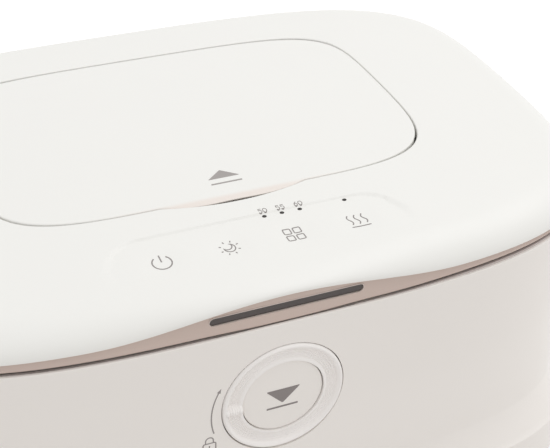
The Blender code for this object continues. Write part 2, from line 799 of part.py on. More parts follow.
def add_screw(name, head, tip, finish):
    """Pan-head screw from the outer face of its head to its tip, along Z."""
    up = math.copysign(1, tip[2] - head[2])
    length = abs(tip[2] - head[2])
    crown = SCREW_HEAD_RADIUS - SCREW_HEAD_HEIGHT / 2
    profile = [
        (0, 0),
        (crown, 0),
        (SCREW_HEAD_RADIUS, -SCREW_HEAD_HEIGHT / 2),
        (SCREW_HEAD_RADIUS, -SCREW_HEAD_HEIGHT),
        (SCREW_RADIUS, -SCREW_HEAD_HEIGHT),
        (SCREW_RADIUS, -length),
        (0, -length),
    ]
    turn = (math.pi, 0, 0) if up > 0 else (0, 0, 0)
    return add_revolve(name, profile, head, turn, PIN_STEPS, False, finish)


def build_base_screws(finish):
    """Four screws that hold the bottom plate to the shell."""
    head_z = PLATE_BOTTOM_Z - REST_GAP - SCREW_HEAD_HEIGHT
    for index, (x, y) in enumerate(screw_places(), start=1):
        tip_z = PLATE_TOP_Z + BASE_SCREW_LENGTH
        add_screw(f"base_screw_{index}", (x, y, head_z), (x, y, tip_z), finish)


def bin_outline(offset):
    """The wipe bin's inner outline, grown by an offset."""
    return outline(BIN_HALF_X + offset, BIN_HALF_Y + offset, BIN_EXPONENT, BIN_POINTS)


def build_wipe_bin(finish):
    """Bin for the stack of wipes, hung by its flange on the base's ledge."""
    inner_floor = BIN_FLOOR_HEIGHT + BIN_WALL
    flange_edge = -RIM_WALL - RUNNING_GAP
    foot = BIN_WALL - BIN_DRAFT
    rings = [
        level(bin_outline(foot - BIN_CORNER_ROUND), BIN_FLOOR_HEIGHT),
        level(bin_outline(foot), BIN_FLOOR_HEIGHT + BIN_CORNER_ROUND),
        level(bin_outline(BIN_WALL), FLANGE_BOTTOM_Z),
        level(body_outline(flange_edge, BIN_POINTS), FLANGE_BOTTOM_Z),
        level(body_outline(flange_edge, BIN_POINTS), FLANGE_TOP_Z),
        level(bin_outline(0), FLANGE_TOP_Z),
        level(bin_outline(-BIN_DRAFT), BIN_FLOOR_HEIGHT + BIN_CORNER_ROUND),
        level(bin_outline(-BIN_DRAFT - BIN_CORNER_ROUND + BIN_WALL), inner_floor),
    ]
    wipe_bin = add_loft("wipe_bin", rings, finish)
    notch = add_box(
        "latch_notch",
        (-LATCH_NOTCH_WIDTH / 2, -HALF_Y, FLANGE_BOTTOM_Z - OVERRUN),
        (LATCH_NOTCH_WIDTH / 2, LATCH_NOTCH_BACK_Y, FLANGE_TOP_Z + OVERRUN),
    )
    cut(wipe_bin, notch)
    for side, start, end in hinge_bays():
        slot = add_box(
            "flange_notch_" + side,
            (start, HINGE_Y - HINGE_EAR_REACH, FLANGE_BOTTOM_Z - OVERRUN),
            (end, HALF_Y, FLANGE_TOP_Z + OVERRUN),
        )
        cut(wipe_bin, slot)


def build_heater(metal, felt, ceramic):
    """Heating plate under the bin, its insulating pad and the thermostat between its posts."""
    plate = rounded_rectangle(HEATER_LENGTH / 2, HEATER_WIDTH / 2, HEATER_CORNER, 4)
    add_extrusion("heater_plate", [plate], HEATER_BOTTOM_Z, HEATER_TOP_Z, metal)
    grown = PAD_MARGIN
    pad = rounded_rectangle(
        HEATER_LENGTH / 2 + grown, HEATER_WIDTH / 2 + grown, HEATER_CORNER + grown, 4
    )
    hole = circle(THERMOSTAT_RADIUS + REST_GAP, INLET_STEPS, (THERMOSTAT_X, 0))
    add_extrusion("insulation_pad", [pad, hole], PAD_BOTTOM_Z, PAD_TOP_Z, felt)
    top = HEATER_BOTTOM_Z - REST_GAP
    add_cylinder(
        "thermostat",
        THERMOSTAT_RADIUS,
        (THERMOSTAT_X, 0, top - THERMOSTAT_HEIGHT),
        (THERMOSTAT_X, 0, top),
        INLET_STEPS,
        ceramic,
    )


def build_power_board(finish):
    """Power board on its posts, with its relay."""
    low = (BOARD_X - BOARD_LENGTH / 2, -BOARD_WIDTH / 2, BOARD_HEIGHT)
    high = (BOARD_X + BOARD_LENGTH / 2, BOARD_WIDTH / 2, BOARD_HEIGHT + BOARD_THICKNESS)
    board = add_box("power_board", low, high, finish)
    relay_x = BOARD_X + BOARD_LENGTH / 2 - RELAY_LENGTH
    base = BOARD_HEIGHT + BOARD_THICKNESS
    relay = add_box(
        "relay",
        (relay_x - RELAY_LENGTH / 2, -RELAY_WIDTH / 2, base - BOARD_THICKNESS / 2),
        (relay_x + RELAY_LENGTH / 2, RELAY_WIDTH / 2, base + RELAY_HEIGHT),
    )
    join(board, relay)


def wall_y(x):
    """Depth of the body's outline at an x."""
    return HALF_Y * (1 - (abs(x) / HALF_X) ** CORNER_EXPONENT) ** (1 / CORNER_EXPONENT)


def build_power_inlet(finish):
    """Round jack in the rear wall, with a bore and a centre pin."""
    outer_face = wall_y(INLET_X)
    flange_front = -(BASE_WALL + INLET_SETBACK)
    flange_back = flange_front - INLET_FLANGE_THICKNESS
    pin_top = -INLET_BORE_RADIUS / 2
    profile = [
        (0, pin_top),
        (INLET_PIN_RADIUS, pin_top),
        (INLET_PIN_RADIUS, -INLET_BORE_DEPTH),
        (INLET_BORE_RADIUS, -INLET_BORE_DEPTH),
        (INLET_BORE_RADIUS, 0),
        (INLET_COLLAR_RADIUS, 0),
        (INLET_COLLAR_RADIUS, flange_front),
        (INLET_FLANGE_RADIUS, flange_front),
        (INLET_FLANGE_RADIUS, flange_back),
        (INLET_BODY_RADIUS, flange_back),
        (INLET_BODY_RADIUS, flange_back - INLET_BODY_LENGTH),
        (0, flange_back - INLET_BODY_LENGTH),
    ]
    place = (INLET_X, outer_face, INLET_HEIGHT)
    add_revolve("power_inlet", profile, place, (-math.pi / 2, 0, 0), INLET_STEPS, False, finish)


def sector(inner, outer, start, end, steps):
    """Outline of a ring sector, counter-clockwise."""
    angles = [start + (end - start) * step / steps for step in range(steps + 1)]
    points = [(outer * math.cos(a), outer * math.sin(a)) for a in angles]
    points += [(inner * math.cos(a), inner * math.sin(a)) for a in reversed(angles)]
    return points


def add_dial_sector(name, inner, outer, start, end, front, back):
    """Sector tool round the dial's axis, between two depths behind the front face."""
    points = sector(inner, outer, start, end, WINDOW_END_STEPS)
    placed = [(x, DIAL_Z + z) for x, z in points]
    return add_loft(name, [upright(placed, -HALF_Y + back), upright(placed, -HALF_Y + front)])


def dial_profile(points):
    """Profile of (radius, depth behind the front face) turned into (radius, height)."""
    return [(radius, -depth) for radius, depth in points]


def build_lock_ring(finish):
    """Ring that turns round the button: raised lip, dished face, pointer and stop tab."""
    width = RING_RADIUS - RING_INNER_RADIUS
    face_shares = (
        (0.00, -0.2), (0.08, -0.2), (0.22, 0.65), (0.45, 1.0), (0.66, 0.65),
        (0.77, -0.5), (0.86, -0.93), (0.95, -0.65), (1.00, 0.1),
    )
    face = [(RING_INNER_RADIUS + width * x, RING_DISH_DEPTH * y) for x, y in face_shares]
    flange_radius = RING_RADIUS + RING_FLANGE_WIDTH
    profile = face + [
        (RING_RADIUS, RING_FLANGE_DEPTH),
        (flange_radius, RING_FLANGE_DEPTH),
        (flange_radius, RING_BACK_DEPTH),
        (RING_INNER_RADIUS, RING_BACK_DEPTH),
    ]
    turn = (math.pi / 2, 0, 0)
    ring = add_revolve("lock_ring", dial_profile(profile), DIAL_PLACE, turn, DIAL_STEPS, True, finish)
    start = -math.pi / 2 - RING_TAB_ANGLE / 2
    tab = add_dial_sector(
        "ring_tab",
        flange_radius - BITE,
        flange_radius + RING_TAB_WIDTH,
        start,
        start + RING_TAB_ANGLE,
        RING_FLANGE_DEPTH,
        RING_BACK_DEPTH,
    )
    join(ring, tab)
    join(ring, build_pointer())
    return ring


def build_pointer():
    """Oval bump on the ring's dished face that shows which way it is turned."""
    shape = bmesh.new()
    bmesh.ops.create_uvsphere(shape, u_segments=12, v_segments=8, radius=1.0)
    size = Vector((POINTER_LENGTH, POINTER_HEIGHT, POINTER_WIDTH)) / 2
    bmesh.ops.scale(shape, vec=size, verts=shape.verts)
    pointer = place_object("pointer", finish_mesh(shape, "pointer"), None)
    reach = (RING_RADIUS + BUTTON_RADIUS) / 2 - POINTER_HEIGHT / 2
    side = Vector((math.cos(POINTER_ANGLE), 0, math.sin(POINTER_ANGLE)))
    pointer.location = DIAL_PLACE + side * reach + Vector((0, RING_DISH_DEPTH * 0.8, 0))
    pointer.rotation_euler = (0, math.pi - POINTER_ANGLE, 0)
    return pointer


def build_button(finish):
    """Round button with a stem that snaps behind the housing and pushes the latch lever."""
    skirt_depth = BUTTON_FACE + BUTTON_WALL / 2
    catch_depth = HOUSING_BACK_DEPTH + REST_GAP
    catch_radius = STEM_RADIUS + STEM_CATCH
    profile = [
        (0, -BUTTON_PROUD),
        (BUTTON_RADIUS - 2 * BUTTON_ROUND, -BUTTON_PROUD),
        (BUTTON_RADIUS, BUTTON_ROUND),
        (BUTTON_RADIUS, skirt_depth),
        (BUTTON_RADIUS - BUTTON_WALL, skirt_depth),
        (BUTTON_RADIUS - BUTTON_WALL, BUTTON_FACE),
        (STEM_RADIUS, BUTTON_FACE),
        (STEM_RADIUS, catch_depth),
        (catch_radius, catch_depth),
        (catch_radius, catch_depth + STEM_CATCH_LENGTH),
        (STEM_TIP_RADIUS, STEM_LENGTH),
        (0, STEM_LENGTH),
    ]
    turn = (math.pi / 2, 0, 0)
    return add_revolve(
        "release_button", dial_profile(profile), DIAL_PLACE, turn, DIAL_STEPS, False, finish
    )


def build_dial_housing(finish):
    """Plate behind the wall that the ring turns in front of and the button slides in."""
    guide_radius = STEM_RADIUS + REST_GAP
    guide_front = HOUSING_DEPTH - GUIDE_LENGTH
    profile = [
        (guide_radius, guide_front),
        (guide_radius + GUIDE_WALL, guide_front),
        (guide_radius + GUIDE_WALL, HOUSING_DEPTH),
        (HOUSING_RIM_RADIUS, HOUSING_DEPTH),
        (HOUSING_RIM_RADIUS, RING_FLANGE_DEPTH),
        (HOUSING_RADIUS, RING_FLANGE_DEPTH),
        (HOUSING_RADIUS, HOUSING_BACK_DEPTH),
        (guide_radius, HOUSING_BACK_DEPTH),
    ]
    turn = (math.pi / 2, 0, 0)
    housing = add_revolve(
        "dial_housing", dial_profile(profile), DIAL_PLACE, turn, DIAL_STEPS, True, finish
    )
    end = -math.pi / 2 + RING_TAB_ANGLE / 2 + RING_STOP_SLACK
    start = -math.pi / 2 - RING_TAB_ANGLE / 2 - RING_TURN - RING_STOP_SLACK
    window = add_dial_sector(
        "tab_window",
        HOUSING_RIM_RADIUS - BITE,
        HOUSING_RADIUS + OVERRUN,
        start,
        end,
        RING_FLANGE_DEPTH - OVERRUN,
        HOUSING_DEPTH + REST_GAP,
    )
    cut(housing, window)


def side_matrix(half_width):
    """Turns an outline drawn as (y, z) into a solid that runs along X."""
    turn = Matrix(((0, 0, 1, 0), (1, 0, 0, 0), (0, 1, 0, 0), (0, 0, 0, 1)))
    return turn, -half_width, half_width


def build_latch_lever(finish):
    """Lever on a pin: the button pushes its tail back and its nose swings to the front."""
    tail_z = DIAL_Z - LEVER_TAIL
    half_angle = math.asin(LEVER_THICKNESS / 2 / LEVER_HUB_RADIUS)
    hub = []
    for side in (0, 1):
        start = -math.pi / 2 + half_angle + side * math.pi
        sweep = math.pi - 2 * half_angle
        arc = []
        for step in range(LEVER_HUB_STEPS // 2 + 1):
            angle = start + sweep * step / (LEVER_HUB_STEPS // 2)
            arc.append((
                LEVER_PIVOT_Y + LEVER_HUB_RADIUS * math.cos(angle),
                LEVER_PIVOT_Z + LEVER_HUB_RADIUS * math.sin(angle),
            ))
        hub.append(arc)
    points = [(LEVER_FRONT_Y, tail_z), (LEVER_BACK_Y, tail_z)]
    points += hub[0]
    points += [
        (LEVER_BACK_Y, NOSE_BOTTOM_Z),
        (NOSE_TIP_Y, NOSE_BOTTOM_Z),
        (LEVER_BACK_Y + LEVER_NOSE_REACH / 3, LEVER_TOP_Z),
        (LEVER_FRONT_Y, LEVER_TOP_Z),
    ]
    points += hub[1]
    bore = circle(LATCH_PIN_RADIUS + REST_GAP, PIN_STEPS, (LEVER_PIVOT_Y, LEVER_PIVOT_Z))
    matrix, low, high = side_matrix(LEVER_WIDTH / 2)
    return add_extrusion("latch_lever", [points, bore], low, high, finish, matrix)


def build_latch_bracket(plastic, steel):
    """Channel behind the dial that holds the lever's pin and backs its spring."""
    inner = LEVER_WIDTH / 2 + RUNNING_GAP
    outer = inner + BRACKET_WALL
    channel = [
        (-outer, BRACKET_FRONT_Y), (-inner, BRACKET_FRONT_Y), (-inner, BRACKET_INNER_Y),
        (inner, BRACKET_INNER_Y), (inner, BRACKET_FRONT_Y), (outer, BRACKET_FRONT_Y),
        (outer, BRACKET_BACK_Y), (-outer, BRACKET_BACK_Y),
    ]
    bracket = add_extrusion("latch_bracket", [channel], BRACKET_BOTTOM_Z, BRACKET_TOP_Z, plastic)
    bracket = as_mesh(bracket, plastic)
    pivot_low = (-outer - OVERRUN, LEVER_PIVOT_Y, LEVER_PIVOT_Z)
    pivot_high = (outer + OVERRUN, LEVER_PIVOT_Y, LEVER_PIVOT_Z)
    bore = add_cylinder("pivot_bore", LATCH_PIN_RADIUS + REST_GAP, pivot_low, pivot_high, PIN_STEPS)
    cut(bracket, bore)
    add_cylinder(
        "latch_pin",
        LATCH_PIN_RADIUS,
        (-outer, LEVER_PIVOT_Y, LEVER_PIVOT_Z),
        (outer, LEVER_PIVOT_Y, LEVER_PIVOT_Z),
        PIN_STEPS,
        steel,
    )


def spring_point(share):
    """Point of the latch spring's centre line at a share of its length."""
    start = LEVER_BACK_Y + REST_GAP + SPRING_WIRE / 2
    end = BRACKET_INNER_Y - REST_GAP - SPRING_WIRE / 2
    angle = math.tau * SPRING_TURNS * share
    reach = SPRING_RADIUS - SPRING_WIRE / 2
    return Vector((reach * math.cos(angle), start + (end - start) * share, DIAL_Z + reach * math.sin(angle)))


def build_latch_spring(finish):
    """Coil that pushes the lever's tail, and the button with it, to the front."""
    count = SPRING_TURNS * SPRING_TURN_POINTS
    points = [spring_point(step / count) for step in range(count + 1)]
    gap = min(
        (one - other).length - SPRING_WIRE
        for index, one in enumerate(points)
        for other in points[index + SPRING_TURN_POINTS // 2:]
    )
    print("latch_spring least gap between turns", round(gap, 6))
    curve = bpy.data.curves.new("latch_spring", "CURVE")
    curve.dimensions = "3D"
    curve.bevel_depth = SPRING_WIRE / 2
    curve.bevel_resolution = 1
    curve.use_fill_caps = True
    spline = curve.splines.new("POLY")
    spline.points.add(count)
    for target, point in zip(spline.points, points):
        target.co = (*point, 1)
    place_object("latch_spring", curve, finish)


def build_lid_strike(finish):
    """Hook under the lid's front that the lever's nose holds down."""
    plate_bottom = STRIKE_TOP_Z - STRIKE_PLATE
    ledge_bottom = STRIKE_LEDGE_Z - STRIKE_LEDGE_HEIGHT
    points = [
        (STRIKE_BACK_Y - STRIKE_FRONT_REACH, STRIKE_TOP_Z),
        (STRIKE_BACK_Y - STRIKE_FRONT_REACH, plate_bottom),
        (STRIKE_TAB_Y, plate_bottom),
        (STRIKE_TAB_Y, STRIKE_LEDGE_Z),
        (STRIKE_LEDGE_Y, STRIKE_LEDGE_Z),
        (STRIKE_LEDGE_Y, ledge_bottom + STRIKE_LEDGE_HEIGHT / 2),
        (STRIKE_TAB_Y, ledge_bottom),
        (STRIKE_BACK_Y, ledge_bottom),
        (STRIKE_BACK_Y, STRIKE_TOP_Z),
    ]
    matrix, low, high = side_matrix(STRIKE_WIDTH / 2)
    return add_extrusion("lid_strike", [points], low, high, finish, matrix)


def cover_rings(points_at, depth, angles):
    """Rings of the cover's rounded shoulder, from given angles, at a depth under its skin."""
    rings = []
    for degrees in angles:
        angle = math.radians(degrees)
        inset = depth + (COVER_ROUND_WIDTH - depth) * (1 - math.cos(angle))
        ring = []
        for (x, y), (rim_x, rim_y) in zip(points_at(-inset), points_at(-depth)):
            straight_top = cover_edge(rim_x, rim_y) + COVER_STRAIGHT
            drop = dome(rim_x, rim_y) - depth - straight_top
            ring.append(Vector((x, y, dome(x, y) - depth - drop * (1 - math.sin(angle)))))
        rings.append(ring)
    return rings


def lid_outline(offset):
    """The body's outline with the lid's own count of points."""
    return body_outline(offset, LID_POINTS)


def boss_places():
    """Where the lid's four screws stand."""
    x = BIN_HALF_X * COVER_BOSS_X_SHARE
    y = BIN_HALF_Y * COVER_BOSS_Y_SHARE
    return ((-x, -y), (x, -y), (-x, y), (x, y))


def flap_axis_z():
    """Height of the flap's hinge axis."""
    return dome(0, FLAP_AXIS_Y) - FLAP_AXIS_DEPTH


def socket_box(name, sign, grow):
    """Block round one end of the flap's hinge axis, under the cover."""
    inner = FLAP_SOCKET_START - grow
    outer = FLAP_SOCKET_START + FLAP_SOCKET_LENGTH + grow
    start = min(sign * inner, sign * outer)
    end = max(sign * inner, sign * outer)
    reach = FLAP_SOCKET_HALF_WIDTH + grow
    axis_z = flap_axis_z()
    low = (start, FLAP_AXIS_Y - reach, axis_z - FLAP_SOCKET_DROP - grow)
    high = (end, FLAP_AXIS_Y + reach, axis_z + grow)
    return add_box(name, low, high)


def flap_bore(name, sign):
    """Bore for one of the flap's hinge pins, through its lug and into its socket."""
    start = sign * (FLAP_LUG_END - FLAP_LUG_LENGTH - OVERRUN)
    end = sign * (FLAP_SOCKET_START + FLAP_SOCKET_LENGTH - BITE)
    radius = FLAP_PIN_RADIUS + FLAP_PIN_GAP
    axis_z = flap_axis_z()
    return add_cylinder(name, radius, (start, FLAP_AXIS_Y, axis_z), (end, FLAP_AXIS_Y, axis_z), PIN_STEPS)


def build_lid_cover(finish):
    """Domed white cover with its rounded shoulder, arched lower edge and flap opening."""
    rings = [
        level(lid_outline(-COVER_EDGE_ROUND), cover_edge),
        level(lid_outline(0), lambda x, y: cover_edge(x, y) + COVER_EDGE_ROUND),
    ]
    rings += cover_rings(lid_outline, 0.0, COVER_OUTER_ANGLES)
    rings.append(level(opening_outline(OPENING_ROUND), dome))
    rings.append(level(opening_outline(0), below_dome(OPENING_ROUND)))
    rings.append(level(opening_outline(0), below_dome(COVER_WALL)))
    rings += cover_rings(lid_outline, COVER_WALL, COVER_INNER_ANGLES)
    rings.append(level(lid_outline(-COVER_WALL), cover_edge))
    cover = add_loft("lid_cover", rings, finish, wrap=True)
    for index, (x, y) in enumerate(boss_places(), start=1):
        bottom = LINER_TOP_Z + REST_GAP
        top = dome(x, y) - COVER_WALL
        join(cover, add_cylinder(
            f"lid_boss_{index}", COVER_BOSS_RADIUS, (x, y, bottom), (x, y, top + BITE), PIN_STEPS
        ))
        cut(cover, add_cylinder(
            f"lid_bore_{index}",
            SCREW_RADIUS + REST_GAP,
            (x, y, bottom - OVERRUN),
            (x, y, LINER_BOTTOM_Z + COVER_SCREW_LENGTH),
            PIN_STEPS,
        ))
    for side, sign in (("left", -1), ("right", 1)):
        join(cover, socket_box("flap_socket_" + side, sign, 0))
        cut(cover, flap_bore("cover_bore_" + side, sign))
    return cover


def build_lid_screws(finish):
    """Four screws that clamp the liner under the cover."""
    screws = []
    for index, (x, y) in enumerate(boss_places(), start=1):
        head = (x, y, LINER_BOTTOM_Z - REST_GAP - SCREW_HEAD_HEIGHT)
        tip = (x, y, LINER_BOTTOM_Z + COVER_SCREW_LENGTH - BITE)
        screws.append(add_screw(f"lid_screw_{index}", head, tip, finish))
    return screws


def frame_top(x, y):
    """Top of the lid frame's spigot inside the cover."""
    return min(cover_edge(x, y) + FRAME_SPIGOT, dome(x, y) - COVER_WALL - FRAME_TOP_ROOM)


def frame_shoulder(x, y):
    """Height of the ledge that the cover's lower edge rests on."""
    return cover_edge(x, y) - REST_GAP


def build_lid_frame(finish):
    """Taupe frame of the lid: the band, a shelf for the liner and the hinge knuckles."""
    spigot = COVER_WALL + REST_GAP
    inner = spigot + FRAME_WALL
    rings = [
        level(lid_outline(-BAND_RECESS - BAND_ROUND), LID_BOTTOM_Z),
        level(lid_outline(-BAND_RECESS), LID_BOTTOM_Z + BAND_ROUND),
        level(lid_outline(-BAND_RECESS), frame_shoulder),
        level(lid_outline(-spigot), frame_shoulder),
        level(lid_outline(-spigot), frame_top),
        level(lid_outline(-inner), frame_top),
        level(lid_outline(-inner), FRAME_SHELF_Z),
        level(lid_outline(-FRAME_FLANGE_INSET), FRAME_SHELF_Z),
        level(lid_outline(-FRAME_FLANGE_INSET), LID_BOTTOM_Z),
    ]
    frame = add_loft("lid_frame", rings, finish, wrap=True)
    for side, start, end in hinge_bays():
        low = start + RUNNING_GAP
        high = end - RUNNING_GAP
        barrel = add_cylinder(
            "knuckle_" + side,
            HINGE_BARREL_RADIUS,
            (low, HINGE_Y, HINGE_Z),
            (high, HINGE_Y, HINGE_Z),
            INLET_STEPS,
        )
        arm = add_box(
            "hinge_arm_" + side,
            (low, HINGE_Y - HINGE_ARM_BACK, HINGE_Z),
            (high, HINGE_Y + HINGE_ARM_FRONT, LID_BOTTOM_Z + BITE),
        )
        bore = add_cylinder(
            "knuckle_bore_" + side,
            HINGE_PIN_RADIUS + REST_GAP,
            (low - OVERRUN, HINGE_Y, HINGE_Z),
            (high + OVERRUN, HINGE_Y, HINGE_Z),
            PIN_STEPS,
        )
        join(arm, barrel)
        join(frame, arm)
        cut(frame, bore)
    slot = window_outline(WINDOW_HALF_LENGTH, WINDOW_HALF_HEIGHT)
    front = -HALF_Y - OVERRUN
    back = -HALF_Y + inner + OVERRUN
    cut(frame, add_loft("window_slot", [upright(slot, back), upright(slot, front)]))
    return frame


def window_outline(half_length, half_height):
    """Slot shape with round ends, as (x, z), round the light window's middle."""
    points = rounded_rectangle(half_length, half_height, half_height, WINDOW_END_STEPS)
    return [(x, LID_BOTTOM_Z + WINDOW_HEIGHT + z) for x, z in points]


def build_light_window(lens, board):
    """Smoked window in the band and the strip of lights behind it."""
    front = -HALF_Y + BAND_RECESS + WINDOW_SET_BACK
    step = -HALF_Y + COVER_WALL + REST_GAP + FRAME_WALL + REST_GAP
    back = step + WINDOW_FLANGE_THICKNESS
    half_length = WINDOW_HALF_LENGTH - REST_GAP
    half_height = WINDOW_HALF_HEIGHT - REST_GAP
    bar = window_outline(half_length, half_height)
    flange = window_outline(
        WINDOW_HALF_LENGTH + WINDOW_FLANGE_LENGTH, WINDOW_HALF_HEIGHT + WINDOW_FLANGE_HEIGHT
    )
    rings = [upright(flange, back), upright(flange, step), upright(bar, step), upright(bar, front)]
    window = add_loft("light_window", rings, lens)
    chip_front = back + REST_GAP
    board_front = chip_front + LIGHT_CHIP_THICKNESS
    middle = LID_BOTTOM_Z + WINDOW_HEIGHT
    strip = add_box(
        "light_board",
        (-LIGHT_BOARD_HALF_LENGTH, board_front, LINER_BOTTOM_Z),
        (LIGHT_BOARD_HALF_LENGTH, board_front + LIGHT_BOARD_THICKNESS, 2 * middle - LINER_BOTTOM_Z),
        board,
    )
    for index, place in enumerate((-1, 0, 1), start=1):
        chip = add_box(
            f"light_chip_{index}",
            (place * LIGHT_CHIP_SPACING - LIGHT_CHIP_LENGTH / 2, chip_front, middle - LIGHT_CHIP_HEIGHT / 2),
            (
                place * LIGHT_CHIP_SPACING + LIGHT_CHIP_LENGTH / 2,
                board_front + LIGHT_BOARD_THICKNESS / 2,
                middle + LIGHT_CHIP_HEIGHT / 2,
            ),
        )
        join(strip, chip)
    return [window, strip]


def build_hinge_pins(finish):
    """Two steel pins that the lid turns on."""
    for side, start, end in hinge_bays():
        add_cylinder(
            "lid_hinge_pin_" + side,
            HINGE_PIN_RADIUS,
            (start - HINGE_EAR + HINGE_PIN_SHORT, HINGE_Y, HINGE_Z),
            (end + HINGE_EAR - HINGE_PIN_SHORT, HINGE_Y, HINGE_Z),
            PIN_STEPS,
            finish,
        )


def build_lid_liner(finish):
    """Inner panel of the lid, with a hole for the dispensing port."""
    loops = [body_outline(-LINER_INSET, BODY_POINTS)]
    loops.append(port_outline(PORT_NECK_LENGTH + REST_GAP, PORT_NECK_WIDTH + REST_GAP))
    loops += [circle(SCREW_RADIUS + REST_GAP, PIN_STEPS, place) for place in boss_places()]
    return add_extrusion("lid_liner", loops, LINER_BOTTOM_Z, LINER_TOP_Z, finish)


def build_lid_seal(finish):
    """Silicone ring under the liner that closes on the bin's flange."""
    inner = bin_outline(SEAL_OUTSET)
    outer = bin_outline(SEAL_OUTSET + SEAL_WIDTH)
    low = FLANGE_TOP_Z + REST_GAP
    return add_extrusion("lid_seal", [outer, inner], low, LINER_BOTTOM_Z - REST_GAP, finish)


def build_tray(finish):
    """Tray under the flap, hung from the cover's opening, with a floor round the port."""
    flange_top = COVER_WALL + REST_GAP
    flange_bottom = flange_top + TRAY_FLANGE_THICKNESS
    hole = outline(
        PORT_NECK_LENGTH + REST_GAP, PORT_NECK_WIDTH + REST_GAP, PORT_EXPONENT, LID_POINTS, DOME_CENTRE_Y
    )
    rings = [
        level(hole, TRAY_BOTTOM_Z),
        level(opening_outline(TRAY_WALL - TRAY_ROUND), TRAY_BOTTOM_Z),
        level(opening_outline(TRAY_WALL), TRAY_BOTTOM_Z + TRAY_ROUND),
        level(opening_outline(TRAY_WALL), below_dome(flange_bottom)),
        level(opening_outline(TRAY_FLANGE), below_dome(flange_bottom)),
        level(opening_outline(TRAY_FLANGE), below_dome(flange_top)),
        level(opening_outline(0), below_dome(flange_top)),
        level(opening_outline(0), TRAY_FLOOR_Z + TRAY_ROUND),
        level(opening_outline(-TRAY_ROUND), TRAY_FLOOR_Z),
        level(hole, TRAY_FLOOR_Z),
    ]
    tray = add_loft("dispensing_tray", rings, finish, wrap=True)
    for side, sign in (("left", -1), ("right", 1)):
        cut(tray, socket_box("tray_notch_" + side, sign, TRAY_NOTCH_ROOM))
    return tray


def build_port(finish):
    """Silicone port that the wipes are pulled through."""
    base = TRAY_FLOOR_Z + REST_GAP
    flange_x = PORT_LIP_LENGTH + PORT_FLANGE
    flange_y = PORT_LIP_WIDTH + PORT_FLANGE
    mouth = port_outline(PORT_MOUTH_LENGTH, PORT_MOUTH_WIDTH)
    neck = port_outline(PORT_NECK_LENGTH, PORT_NECK_WIDTH)
    bore = port_outline(PORT_NECK_LENGTH - PORT_NECK_WALL, PORT_NECK_WIDTH - PORT_NECK_WALL)
    lip_foot = port_outline(PORT_LIP_LENGTH - 2 * PORT_LIP_WALL, PORT_LIP_WIDTH - 2 * PORT_LIP_WALL)
    rings = [
        level(neck, base),
        level(port_outline(flange_x, flange_y), base),
        level(port_outline(flange_x, flange_y), base + PORT_SKIN),
        level(port_outline(PORT_LIP_LENGTH, PORT_LIP_WIDTH), base + PORT_SKIN),
        level(port_outline(PORT_LIP_LENGTH, PORT_LIP_WIDTH), PORT_LIP_Z),
        level(port_outline(PORT_LIP_LENGTH - PORT_LIP_WALL, PORT_LIP_WIDTH - PORT_LIP_WALL), PORT_LIP_Z),
        level(lip_foot, base + PORT_SKIN),
        level(mouth, base + PORT_SKIN / 2),
        level(mouth, base - PORT_SKIN / 2),
        level(bore, base - PORT_SKIN / 3),
        level(bore, LINER_BOTTOM_Z + REST_GAP),
        level(neck, LINER_BOTTOM_Z + REST_GAP),
    ]
    return add_loft("wipe_port", rings, finish, wrap=True)


def flap_outline(offset, share=1.0):
    """The flap's outline, grown by an offset and drawn in to a share of its size."""
    half_x = (FLAP_HALF_LENGTH + offset) * share
    half_y = (FLAP_HALF_WIDTH + offset) * share
    return outline(half_x, half_y, FLAP_EXPONENT, LID_POINTS, DOME_CENTRE_Y)


def build_flap_cover(finish):
    """Domed flap, flush in the cover, with a short skirt and two hinge lugs."""
    top = [level(flap_outline(0, share), dome) for share in reversed(FLAP_RING_SHARES)]
    under = [level(flap_outline(0, share), below_dome(FLAP_THICKNESS)) for share in FLAP_RING_SHARES]
    rings = top + [
        level(flap_outline(-FLAP_ROUND), dome),
        level(flap_outline(-FLAP_ROUND / 4), below_dome(FLAP_ROUND / 4)),
        level(flap_outline(0), below_dome(FLAP_ROUND)),
        level(flap_outline(0), below_dome(FLAP_SKIRT)),
        level(flap_outline(-FLAP_SKIRT_WALL), below_dome(FLAP_SKIRT)),
        level(flap_outline(-FLAP_SKIRT_WALL), below_dome(FLAP_THICKNESS)),
    ] + under
    flap = add_loft("flap_cover", rings, finish)
    axis_z = flap_axis_z()
    for side, sign in (("left", -1), ("right", 1)):
        ends = sorted((sign * (FLAP_LUG_END - FLAP_LUG_LENGTH), sign * FLAP_LUG_END))
        join(flap, add_box(
            "flap_lug_" + side,
            (ends[0], FLAP_AXIS_Y - FLAP_LUG_HALF_WIDTH, axis_z - FLAP_LUG_DROP),
            (ends[1], FLAP_AXIS_Y + FLAP_LUG_HALF_WIDTH, axis_z + FLAP_LUG_RISE),
        ))
        cut(flap, flap_bore("flap_bore_" + side, sign))
    return flap


def build_flap_pins(finish):
    """Two steel pins that the flap turns on."""
    axis_z = flap_axis_z()
    pins = []
    for side, sign in (("left", -1), ("right", 1)):
        start = sign * (FLAP_LUG_END - FLAP_LUG_LENGTH)
        end = sign * (FLAP_SOCKET_START + FLAP_SOCKET_LENGTH - BITE - REST_GAP)
        pins.append(add_cylinder(
            "flap_hinge_pin_" + side,
            FLAP_PIN_RADIUS,
            (start, FLAP_AXIS_Y, axis_z),
            (end, FLAP_AXIS_Y, axis_z),
            PIN_STEPS,
            finish,
        ))
    return pins


